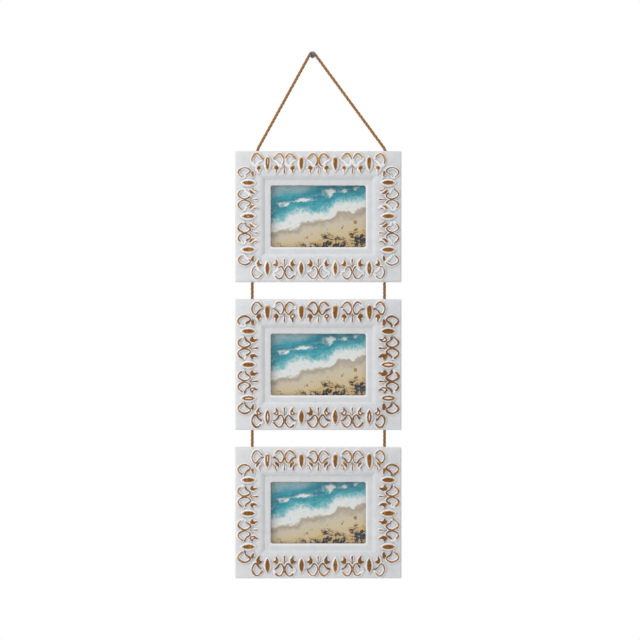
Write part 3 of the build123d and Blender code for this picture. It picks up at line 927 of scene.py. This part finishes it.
OVAL_RUBS = (OVAL_INNER_HALF + BLUNT_OUTER_HALF, BLUNT_OVAL, OVAL_INNER_HALF + OVAL_OUTER_HALF, BLUNT_OVAL)
# share of ovals and of buds that kept white paint in the middle
WHITE_MIDDLES = {"top": (0.14, 0.0), "middle": (0.4, 0.55), "bottom": (0.1, 0.1)}
# what chance adds to the reach along a wing and to the cloth on buds and ovals, or multiplies a stroke by
REACH_RANGE, BUD_RANGE, OVAL_RANGE, STROKE_RANGE = 0.33, 0.2, 0.1, (0.85, 1.15)
DART_CLOTH = (0.8, 1.1)
# ovals are golden by a fixed part and by a share of their rail's gold
OVAL_GILD, OVAL_GILD_SHARE = 0.6, 0.4
print("wear for", len(WEAR), "frames")

# %% [markdown]
# Every form is moved to its place along the rail, and gets a slightly different turn and size, as it would
# by hand. The second form of a pair is mirrored.

# %% Forms set by hand
FORM_TURN, FORM_SHIFT, FORM_GROW = 0.03, 0.2, (0.97, 1.0)


def set_form(form, centre, mirrored, chance, shift=0.0):
    """Form moved to its centre along the rail, mirrored if asked, and a little out of true."""
    rings, rub_row, gild_row = form
    turn, grow = chance.uniform(-FORM_TURN, FORM_TURN), chance.uniform(*FORM_GROW)
    shift += chance.uniform(-FORM_SHIFT, FORM_SHIFT)
    middle_u = sum(p[0] for p in rings[0]) / len(rings[0])
    middle_v = sum(p[1] for p in rings[0]) / len(rings[0])
    out = []
    for ring in rings:
        row = []
        for u, v, height in ring:
            du, dv = (u - middle_u) * grow, (v - middle_v) * grow
            u = middle_u + du * math.cos(turn) - dv * math.sin(turn) + shift
            v = middle_v + du * math.sin(turn) + dv * math.cos(turn)
            row.append((centre + (-u if mirrored else u), v, height))
        out.append(row)
    return out, rub_row, gild_row


# %% [markdown]
# Along each rail the wings and buds stand in mirrored pairs with a dart between, and ovals fill the
# spaces. At the corners only the inward half of a pair is left, and the side rails end in a small leaf.
# Chance changes the rubbing of every form a little.

# %% Forms along one rail
CORNER_INSET, LEAST_PITCH, CORNER_WING_SHIFT = 23.6, 49.0, 1.5


def leaf_form(at_corner, rail, name, chance):
    """Bud with its notch, or the small leaf in which a side rail ends."""
    cloth, gild = WEAR[name][rail][2:4]
    wiped = cloth + chance.uniform(-BUD_RANGE, BUD_RANGE)
    bare_to = BUD_BARE_TO if chance.random() < WHITE_MIDDLES[name][1] else ALL_BARE
    if at_corner and rail % 2 == 1:
        return mound(END_LEAF_SHAPE, END_LEAF_STROKES, wiped, gild)
    return mound(BUD_SHAPE, BUD_RUBS[name][rail], wiped, gild, BUD_NOTCH, bare_to)


def rail_forms(length, rail, name, chance):
    """Forms of one rail of one frame, along from the rail's middle and in from its outer edge."""
    stroke, wing_gild, cloth, gild, reach = WEAR[name][rail]
    spaces = int((length - 2 * CORNER_INSET) / LEAST_PITCH)
    pitch = (length - 2 * CORNER_INSET) / spaces
    forms = []
    for i in range(spaces + 1):
        centre = i * pitch + CORNER_INSET - length / 2
        at_corner = i in (0, spaces)
        for mirrored in [i == spaces] if at_corner else [False, True]:
            rub_end = reach + chance.uniform(0.0, REACH_RANGE)
            curl = wing(chance, stroke * chance.uniform(*STROKE_RANGE), wing_gild, rub_end)
            forms.append(set_form(curl, centre, mirrored, chance, CORNER_WING_SHIFT if at_corner else 0.0))
            forms.append(set_form(leaf_form(at_corner, rail, name, chance), centre, mirrored, chance))
        if not at_corner:
            dart = mound(DART_SHAPE, DART_STROKES, chance.uniform(*DART_CLOTH), gild)
            forms.append(set_form(dart, centre, False, chance))
        if i < spaces:
            bare_to = OVAL_BARE_TO if chance.random() < WHITE_MIDDLES[name][0] else ALL_BARE
            wiped = cloth + chance.uniform(-OVAL_RANGE, OVAL_RANGE)
            golden = OVAL_GILD + OVAL_GILD_SHARE * gild
            oval = mound(OVAL_SHAPE, OVAL_RUBS[rail], wiped, golden, bare_to=bare_to)
            forms.append(set_form(oval, centre + pitch / 2, False, chance))
    return forms


# %% [markdown]
# The four rails of a frame are laid out alike and turned into place by quarter turns, from the top rail
# round by the left. All forms of a frame are one piece that moves with it. Chance starts anew for each
# frame, from its own number, so no two frames are alike and every run gives the same ones.

# %% Relief of each frame
QUARTER_TURNS = ((1, 0), (0, 1), (-1, 0), (0, -1))
FIELD_OUT, FIRST_SEED = 15.0, 40


def relief_mesh(name, seed):
    """Forms on all four rails of the frame with this name."""
    chance = random.Random(seed)
    skins = []
    for rail, (cos, sin) in enumerate(QUARTER_TURNS):
        reach, length = (FRAME_H, FRAME_W) if rail % 2 == 0 else (FRAME_W, FRAME_H)
        for rings, rub_row, gild_row in rail_forms(length, rail, name, chance):
            turned_rings = []
            for ring in rings:
                row = []
                for u, v, height in ring:
                    up = reach / 2 - v
                    row.append(on_face(u * cos - up * sin, u * sin + up * cos, FIELD_OUT + height))
                turned_rings.append(row)
            skins.append((turned_rings, {"rub": rub_row, "gild": gild_row}))
    return build_mesh(f"{name}_relief", skins, ("rub", "gild"))


for index, name in enumerate(FRAME_NAMES):
    mesh = relief_mesh(name, FIRST_SEED + index)
    add_to_frame(name, "relief", "ornament", mesh, relief_finish)

# %% [markdown]
# Clear picture glass is a thin pane. It is kept as the model has it, with a finish that lets light and
# shadow through, a faint green in the body and a trace of wiping marks in the roughness.

# %% Finish: picture glass
glass, tree = open_finish("picture_glass")
smears = noise(tree, object_spot(tree), scale=18.0, detail=5.0, rough=0.7)
wiped = ramp(tree, smears, 0.45, 0.75, to_high=0.05)
shader = fill_shader(glass, Base_Color=(0.97, 0.99, 0.985, 1), Roughness=wiped, Transmission_Weight=1.0,
                     IOR=1.45)
clear = place_node(tree, "ShaderNodeBsdfTransparent", Color=(0.97, 0.985, 0.98, 1))
rays = place_node(tree, "ShaderNodeLightPath")
passes = calc(tree, "MAXIMUM", rays.outputs["Is Shadow Ray"], rays.outputs["Is Diffuse Ray"])
mixed = place_node(tree, "ShaderNodeMixShader", no0=passes, no1=shader.outputs[0], no2=clear.outputs[0])
set_sockets(tree, tree.nodes["Material Output"], Surface=mixed.outputs[0])

# %% [markdown]
# Each frame comes with the same print: a plain picture of a shore from above, drawn with noise. A
# distance from the water's edge runs slantwise over the sheet, made wavy, and a row of colours along it
# gives deep water, shallows, foam, wet and dry sand. It uses the sheet's own coordinates, so every print
# is alike.

# %% Finish: shore print
SHEET_ASPECT = 1.5
SHORE_BANDS = [
    # distance offshore and colour
    (0.08, (0.74, 0.53, 0.26)), (0.26, (0.76, 0.60, 0.37)), (0.37, (0.72, 0.62, 0.49)),
    (0.445, (0.46, 0.36, 0.27)), (0.475, (0.62, 0.55, 0.47)), (0.49, (0.87, 0.85, 0.81)),
    (0.57, (0.84, 0.85, 0.84)), (0.62, (0.24, 0.56, 0.60)), (0.69, (0.015, 0.34, 0.42)),
    (0.79, (0.004, 0.19, 0.30)), (0.88, (0.02, 0.33, 0.42)), (0.99, (0.50, 0.62, 0.66)),
]
print_finish, tree = open_finish("shore_print")
sheet = place_node(tree, "ShaderNodeTexCoord").outputs["Generated"]
parts = place_node(tree, "ShaderNodeSeparateXYZ", Vector=sheet)
flat = place_node(tree, "ShaderNodeCombineXYZ", X=calc(tree, "MULTIPLY", parts.outputs["X"], SHEET_ASPECT),
                  Y=parts.outputs["Z"]).outputs[0]
sway = spread(tree, noise(tree, flat, scale=2.6), width=0.34)
ripple = spread(tree, noise(tree, flat, scale=14.0, detail=4.0, rough=0.6), width=0.1)
slant = weigh(tree, parts.outputs["Z"], 0.86, parts.outputs["X"], -0.34)
offshore = calc(tree, "ADD", calc(tree, "ADD", slant, 0.26), calc(tree, "ADD", sway, ripple))
bands = place_node(tree, "ShaderNodeValToRGB", Fac=offshore)
while len(bands.color_ramp.elements) < len(SHORE_BANDS):
    bands.color_ramp.elements.new(0.5)
for element, (position, colour) in zip(bands.color_ramp.elements, SHORE_BANDS):
    element.position = position
    element.color = (*colour, 1)
picture = bands.outputs["Color"]
print("shore bands", len(SHORE_BANDS))

# %% [markdown]
# Details are laid over the bands one by one, each with a mask. At sea these are swell, foam drawn out
# into lace, a second breaker and lumps in the foam.

# %% Water on the print
def product(*values):
    """Several masks multiplied."""
    out = values[0]
    for value in values[1:]:
        out = calc(tree, "MULTIPLY", out, value)
    return out


def moved(vector, way, amount):
    """Coordinates shifted or stretched."""
    return place_node(tree, "ShaderNodeVectorMath", {"operation": way}, no0=vector, no1=amount).outputs[0]


at_sea = ramp(tree, offshore, 0.58, 0.66)
long_waves = moved(flat, "MULTIPLY", (1.0, 3.2, 1.0))
swell = ramp(tree, noise(tree, long_waves, scale=7.0, detail=4.0, rough=0.65), 0.42, 0.66)
picture = blend_colour(tree, product(swell, at_sea, 0.55), picture, (0.10, 0.50, 0.56, 1))
cells = place_node(tree, "ShaderNodeTexVoronoi", {"feature": "DISTANCE_TO_EDGE"}, Vector=flat, Scale=13.0)
thread = fall(tree, cells.outputs["Distance"], 0.03, 0.14)
lace = product(thread, fall(tree, offshore, 0.52, 0.70), ramp(tree, offshore, 0.48, 0.5))
breaker = product(ramp(tree, offshore, 0.735, 0.755), fall(tree, offshore, 0.765, 0.815),
                  ramp(tree, noise(tree, flat, scale=6.0, detail=4.0), 0.44, 0.6))
picture = blend_colour(tree, calc(tree, "MAXIMUM", lace, breaker), picture, (0.86, 0.86, 0.83, 1))
lumps = ramp(tree, noise(tree, flat, scale=17.0, detail=5.0, rough=0.65), 0.5, 0.7)
in_foam = product(ramp(tree, offshore, 0.49, 0.52), fall(tree, offshore, 0.57, 0.62))
picture = blend_colour(tree, product(lumps, in_foam, 0.6), picture, (0.52, 0.58, 0.64, 1))
print("print with water", len(tree.nodes), "nodes")

# %% [markdown]
# Ashore there are grains of sand, rocks and a few shells. The rocks are shaded by comparing a height with
# the same height a little further on, which makes one flank golden and the other navy.

# %% Sand, rocks and shells on the print
ROCKS = {"scale": 6.5, "detail": 5.0, "rough": 0.6}
ashore = fall(tree, offshore, 0.36, 0.43)
grain = ramp(tree, noise(tree, flat, scale=90.0, detail=2.0, rough=0.7), 0.35, 0.7)
picture = blend_colour(tree, product(grain, ashore, 0.3), picture, (0.50, 0.36, 0.20, 1))
rock_height = noise(tree, flat, **ROCKS)
beyond = noise(tree, moved(flat, "ADD", (-0.018, 0.024, 0.0)), **ROCKS)
inland = ramp(tree, offshore, 0.10, 0.33, to_low=0.2, to_high=0.0)
rock = ramp(tree, calc(tree, "ADD", rock_height, inland), 0.585, 0.61)
flank = ramp(tree, calc(tree, "SUBTRACT", rock_height, beyond), -0.03, 0.05)
rock_colour = blend_colour(tree, flank, (0.018, 0.026, 0.05, 1), (0.72, 0.47, 0.19, 1))
picture = blend_colour(tree, product(rock, fall(tree, offshore, 0.30, 0.34)), picture, rock_colour)
shells = place_node(tree, "ShaderNodeTexVoronoi", Vector=moved(flat, "ADD", (3.7, 3.7, 0.0)), Scale=7.0)
draw = place_node(tree, "ShaderNodeSeparateColor", Color=shells.outputs["Color"]).outputs[0]
shell = product(fall(tree, shells.outputs["Distance"], 0.2, 0.26), ramp(tree, draw, 0.7, 0.72), ashore)
shell_colour = blend_colour(tree, grain, (0.34, 0.11, 0.03, 1), (0.66, 0.30, 0.10, 1))
picture = blend_colour(tree, shell, picture, shell_colour)
fill_shader(print_finish, Base_Color=picture, Specular_IOR_Level=0.4,
            Roughness=ramp(tree, grain, 0.0, 1.0, to_low=0.32, to_high=0.4))

# %% [markdown]
# The backing is pressed hardboard: a dark, fibrous sheet, a little polished on its smooth side.

# %% Finish: hardboard
hardboard, tree = open_finish("hardboard")
spot = object_spot(tree)
pressed = use_group(tree, fibres, Vector=spot, Scale=420.0)
mottle = noise(tree, spot, scale=45.0, detail=4.0, rough=0.6)
board_colour = blend_colour(tree, pressed["Streak"], (0.13, 0.065, 0.03, 1), (0.25, 0.14, 0.07, 1))
board_colour = blend_colour(tree, ramp(tree, mottle, 0.35, 0.7), board_colour, (0.19, 0.10, 0.05, 1))
fill_shader(hardboard, Base_Color=board_colour, Specular_IOR_Level=0.35,
            Roughness=ramp(tree, mottle, 0.3, 0.7, to_low=0.5, to_high=0.68),
            Normal=bump(tree, pressed["Height"], distance=0.0003, strength=0.5))

# %% [markdown]
# Turn buttons, their screws and the staples are zinc plated steel: grey, cloudy and only half bright. The
# nail gets a darker steel later, so one function makes both.

# %% Finish: zinc plate
def steel_finish(name, patch_size, dark, light, metallic, dull, bright, pit_depth, pit_strength):
    """Steel with dark, dull patches between light, bright ones, and fine pits."""
    finish, tree = open_finish(name)
    surface = use_group(tree, handled, Vector=object_spot(tree), Size=patch_size)
    cloud = surface["Cloud"]
    fill_shader(finish, Base_Color=blend_colour(tree, cloud, dark, light), Metallic=metallic,
                Roughness=ramp(tree, cloud, 0.0, 1.0, dull, bright),
                Normal=bump(tree, surface["Height"], pit_depth, pit_strength))
    return finish


zinc = steel_finish("zinc_plate", 0.0022, dark=(0.33, 0.33, 0.325, 1), light=(0.52, 0.52, 0.505, 1),
                    metallic=1.0, dull=0.5, bright=0.36, pit_depth=0.0002, pit_strength=0.4)

# %% [markdown]
# Glass, print, backing and turn buttons already have their true shape in the model, so they keep it and
# take these finishes. The stamped buttons get a fine bevel, because a punched edge is never razor sharp.

# %% Finishes for the model's own sheets and buttons
BUTTON_BEVEL, BEVEL_ANGLE = 0.16, math.radians(40)


def dress(node, material):
    """Finish for a node of the model."""
    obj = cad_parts[node]
    obj.data.materials.clear()
    obj.data.materials.append(material)
    return obj


for name in FRAME_NAMES:
    for sheet, finish in (("glass", glass), ("print", print_finish), ("backing", hardboard)):
        dress(f"{name}_{sheet}", finish)
    for number in (1, 2):
        button = dress(f"{name}_button_{number}", zinc)
        punched = button.modifiers.new("punched_edge", "BEVEL")
        punched.width = BUTTON_BEVEL * MM
        punched.segments = 2
        punched.limit_method = "ANGLE"
        punched.angle_limit = BEVEL_ANGLE
    print("dressed the sheets and buttons of the", name, "frame")

# %% [markdown]
# A screw head is a low dome turned from a profile. Its cross recess is cut with a tapered cross, as the
# driver's tip would fit it. The shank is hidden in the board, so its thread is left off.

# %% Screws
# radius and distance out of the wall, from the shank to the middle of the head
SCREW_PROFILE = [(1.5, 4.0), (1.5, -1.08), (2.9, -1.1), (3.1, -1.3), (3.1, -1.75), (2.85, -2.15),
                 (2.3, -2.42), (1.5, -2.56), (0.6, -2.6)]
SCREW_SHARP, BUTTON_UP, ROUND_STEPS = math.radians(35), 59.3, 36
ROUND_ANGLES = [2 * math.pi * i / ROUND_STEPS for i in range(ROUND_STEPS)]
# reach of the recess from its middle, half the width of an arm, and the part of it that doesn't taper
RECESS_ARM, RECESS_HALF, RECESS_EVEN = 1.7, 0.42, 0.7
# size of the cross and distance out of the wall, from the floor of the recess to above its mouth
RECESS_TAPER = ((0.55, -1.7), (1.0, -2.3), (1.08, -3.0))


def screw_head(up):
    """Rings of a head and shank turned from the profile."""
    return [[on_face(radius * math.cos(a), up + radius * math.sin(a), out) for a in ROUND_ANGLES]
            for radius, out in SCREW_PROFILE]


def cross_cutter(up):
    """Tapered cross, wider at its mouth."""
    rings = []
    for grow, out in RECESS_TAPER:
        arm, half = RECESS_ARM * grow, RECESS_HALF * (RECESS_EVEN + (1 - RECESS_EVEN) * grow)
        outline = []
        for cos, sin in QUARTER_TURNS:
            for x, y in ((arm, -half), (arm, half), (half, half)):
                outline.append(on_face(x * cos - y * sin, up + x * sin + y * cos, out))
        rings.append(outline)
    return rings


def pair_object(name, make_rings):
    """Loose object with one form at each of the two buttons, for cutting."""
    mesh = build_mesh(name, [(make_rings(up), {}) for up in (BUTTON_UP, -BUTTON_UP)])
    obj = bpy.data.objects.new(name, mesh)
    bpy.context.scene.collection.objects.link(obj)
    return obj


heads = pair_object("screw_heads", screw_head)
cutters = pair_object("cutters", cross_cutter)
cut = heads.modifiers.new("recess", "BOOLEAN")
cut.object = cutters
cut.solver = "EXACT"
graph = bpy.context.evaluated_depsgraph_get()
screw_mesh = bpy.data.meshes.new_from_object(heads.evaluated_get(graph))
screw_mesh.shade_smooth()
screw_mesh.set_sharp_from_angle(angle=SCREW_SHARP)
for obj in (heads, cutters):
    bpy.data.objects.remove(obj)
for name in FRAME_NAMES:
    add_to_frame(name, "screws", "button_screws", screw_mesh, zinc)

# %% [markdown]
# A staple is flat wire bent over the rope. Its section is run along a line with round shoulders, and the
# legs go a little way into the board.

# %% Staples
STAPLE_HALF, STAPLE_CROWN, STAPLE_SHOULDER, STAPLE_LEG = 2.5, -4.6, 0.9, 3.0
STAPLE_W, STAPLE_T, SHOULDER_STEPS, STAPLE_INSET = 1.4, 0.8, 6, 14.0
# corners of the wire's section, as shares of its thickness and width
WIRE_SECTION = ((-0.5, -0.4), (-0.4, -0.5), (0.4, -0.5), (0.5, -0.4), (0.5, 0.4), (0.4, 0.5), (-0.4, 0.5),
                (-0.5, 0.4))
# where the left and the right rope cross a frame's lower edge, and the top frame's upper edge
ROPE_FEET, TOP_ROPE_HEADS = (-99.5, 99.5), (-92.0, 101.0)


def staple_rings(x, up):
    """Wire from one leg's tip over the rope to the other's."""
    line = [(-STAPLE_HALF, STAPLE_LEG)]
    for side in (-1, 1):
        for step in range(SHOULDER_STEPS + 1):
            turn = math.pi / 2 * step / SHOULDER_STEPS
            lean = turn if side < 0 else math.pi / 2 - turn
            line.append((side * (STAPLE_HALF - STAPLE_SHOULDER) + side * STAPLE_SHOULDER * math.cos(lean),
                         STAPLE_CROWN + STAPLE_SHOULDER - STAPLE_SHOULDER * math.sin(lean)))
    line.append((STAPLE_HALF, STAPLE_LEG))
    rings = []
    for index, (across, out) in enumerate(line):
        before, after = line[max(index - 1, 0)], line[min(index + 1, len(line) - 1)]
        along = Vector((after[0] - before[0], after[1] - before[1])).normalized()
        ring = []
        for thick, wide in WIRE_SECTION:
            shift = thick * STAPLE_T
            ring.append(on_face(x + across - along.y * shift, up + wide * STAPLE_W, out + along.x * shift))
        rings.append(ring)
    return rings


for name in FRAME_NAMES:
    skins = []
    for foot_x, head_x in zip(ROPE_FEET, TOP_ROPE_HEADS if name == "top" else ROPE_FEET):
        for up in (FRAME_H / 2 - STAPLE_INSET, STAPLE_INSET - FRAME_H / 2):
            share = (up + FRAME_H / 2) / FRAME_H
            skins.append((staple_rings(foot_x + (head_x - foot_x) * share, up), {}))
    mesh = build_mesh(f"{name}_staples", skins)
    add_to_frame(name, "staples", "rope_staples", mesh, zinc)

# %% [markdown]
# The nail is dark blued steel, with larger patches than zinc and not quite so metallic, because of its
# oxide skin.

# %% Finish: blued steel
blued = steel_finish("blued_steel", 0.003, dark=(0.055, 0.06, 0.07, 1), light=(0.17, 0.18, 0.195, 1),
                     metallic=0.85, dull=0.55, bright=0.38, pit_depth=0.0004, pit_strength=0.5)

# %% [markdown]
# The nail is turned from a profile. Its head has a rounded rim and a slightly domed face. A small random
# dent at each of the head's points stands for hammer marks.

# %% Nail
# radius and distance out of the wall, from the tip to the head
NAIL_PROFILE = [(0.1, -25.9), (0.75, -23.6), (1.25, -22.0), (1.25, -12.0), (1.25, -0.05), (1.35, 0.0),
                (1.6, 0.25), (1.6, 5.0), (1.75, 5.5), (4.1, 5.55), (4.55, 5.7), (4.7, 6.05), (4.65, 6.5),
                (4.35, 6.85), (3.6, 7.02), (2.2, 7.12), (0.8, 7.15)]
DENT, DENT_FROM_R, DENT_SEED = 0.05, 2, 5
chance = random.Random(DENT_SEED)
rings = []
for radius, out in NAIL_PROFILE:
    ring = []
    for angle in ROUND_ANGLES:
        dent = chance.uniform(-DENT, 0) if radius > DENT_FROM_R else 0.0
        across = radius + dent
        ring.append(on_face(across * math.cos(angle), across * math.sin(angle), out + dent))
    rings.append(ring)
nail = add_piece("driven_nail", build_mesh("driven_nail", [(rings, {})]), blued)
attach(nail, "wall_nail")
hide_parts("wall_nail")
print("nail", len(nail.data.polygons), "faces")

# %% [markdown]
# A pale floor lies below the row. It stops short of the camera's view, so the front picture has the
# photograph's clean white ground, and views from above still show a shadow.

# %% Floor
FLOOR_Z, FLOOR_FRONT, FLOOR_BACK, FLOOR_HALF_W = -1.0, -1.6, 0.5, 1.3
FLOOR_CORNERS = ((-FLOOR_HALF_W, FLOOR_FRONT), (FLOOR_HALF_W, FLOOR_FRONT), (FLOOR_HALF_W, FLOOR_BACK),
                 (-FLOOR_HALF_W, FLOOR_BACK))
floor_mesh = bpy.data.meshes.new("floor")
floor_mesh.from_pydata([(x, y, FLOOR_Z) for x, y in FLOOR_CORNERS], [], [(0, 1, 2, 3)])
floor_finish, tree = open_finish("pale_floor")
clouds = noise(tree, object_spot(tree), scale=6.0)
pale = blend_colour(tree, clouds, (0.84, 0.84, 0.84, 1), (0.88, 0.88, 0.88, 1))
fill_shader(floor_finish, Base_Color=pale, Roughness=0.8)
floor_mesh.materials.append(floor_finish)
floor = bpy.data.objects.new("floor", floor_mesh)
bpy.context.scene.collection.objects.link(floor)
floor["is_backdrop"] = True
print("floor at", FLOOR_Z)

# %% [markdown]
# The world looks white to the camera and in metal and glass, but lights the object with a much softer
# grey. The light path tells the two apart, so that the white ground adds no light.

# %% World
AMBIENT, WHITE = (0.42, 0.425, 0.435, 1), (1, 1, 1, 1)
world = bpy.data.worlds.new("studio")
bpy.context.scene.world = world
world.use_nodes = True
tree = world.node_tree
rays = place_node(tree, "ShaderNodeLightPath")
seen = calc(tree, "MAXIMUM", rays.outputs["Is Camera Ray"],
            calc(tree, "MAXIMUM", rays.outputs["Is Glossy Ray"], rays.outputs["Is Transmission Ray"]))
sky = blend_colour(tree, seen, AMBIENT, WHITE)
set_sockets(tree, tree.nodes["Background"], Color=sky, Strength=1.0)
print("world", world.name)

# %% [markdown]
# The photograph's light comes from the left and a little above: slopes that face left are brightest,
# those that face down are greyest. A tall lamp on the left and a broad one above give that direction, and
# a weak one from the right keeps shadows open. A lamp behind lights the backs, which only other views
# show.

# %% Lamps
LAMPS = {
    # place, width, height and power
    "key": ((-0.9, -0.7, -0.35), 0.5, 1.4, 5.2),
    "above": ((-0.2, -1.1, 1.5), 1.4, 0.8, 16.0),
    "fill": ((0.6, -1.8, -0.9), 1.2, 1.2, 1.5),
    "back": ((1.2, 1.5, 0.9), 1.2, 1.2, 20.0),
}
AIM = Vector((0.0, 0.0, -0.4))
for name, (place, width, height, power) in LAMPS.items():
    lamp_data = bpy.data.lights.new(name, "AREA")
    lamp_data.shape = "RECTANGLE"
    lamp_data.size = width
    lamp_data.size_y = height
    lamp_data.energy = power
    lamp = bpy.data.objects.new(name, lamp_data)
    lamp.location = place
    lamp.rotation_euler = (AIM - Vector(place)).to_track_quat("-Z", "Y").to_euler()
    bpy.context.scene.collection.objects.link(lamp)
bpy.context.scene.view_settings.view_transform = "Standard"
print("lamps", len(LAMPS))

# %% [markdown]
# Last, the dressed size is set beside the model's size.

# %% Sizes and finish
low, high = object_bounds()
for label, start, end in (("cad", cad_low, cad_high), ("visual", low, high)):
    print(label, [round(b - a, 4) for a, b in zip(start, end)])
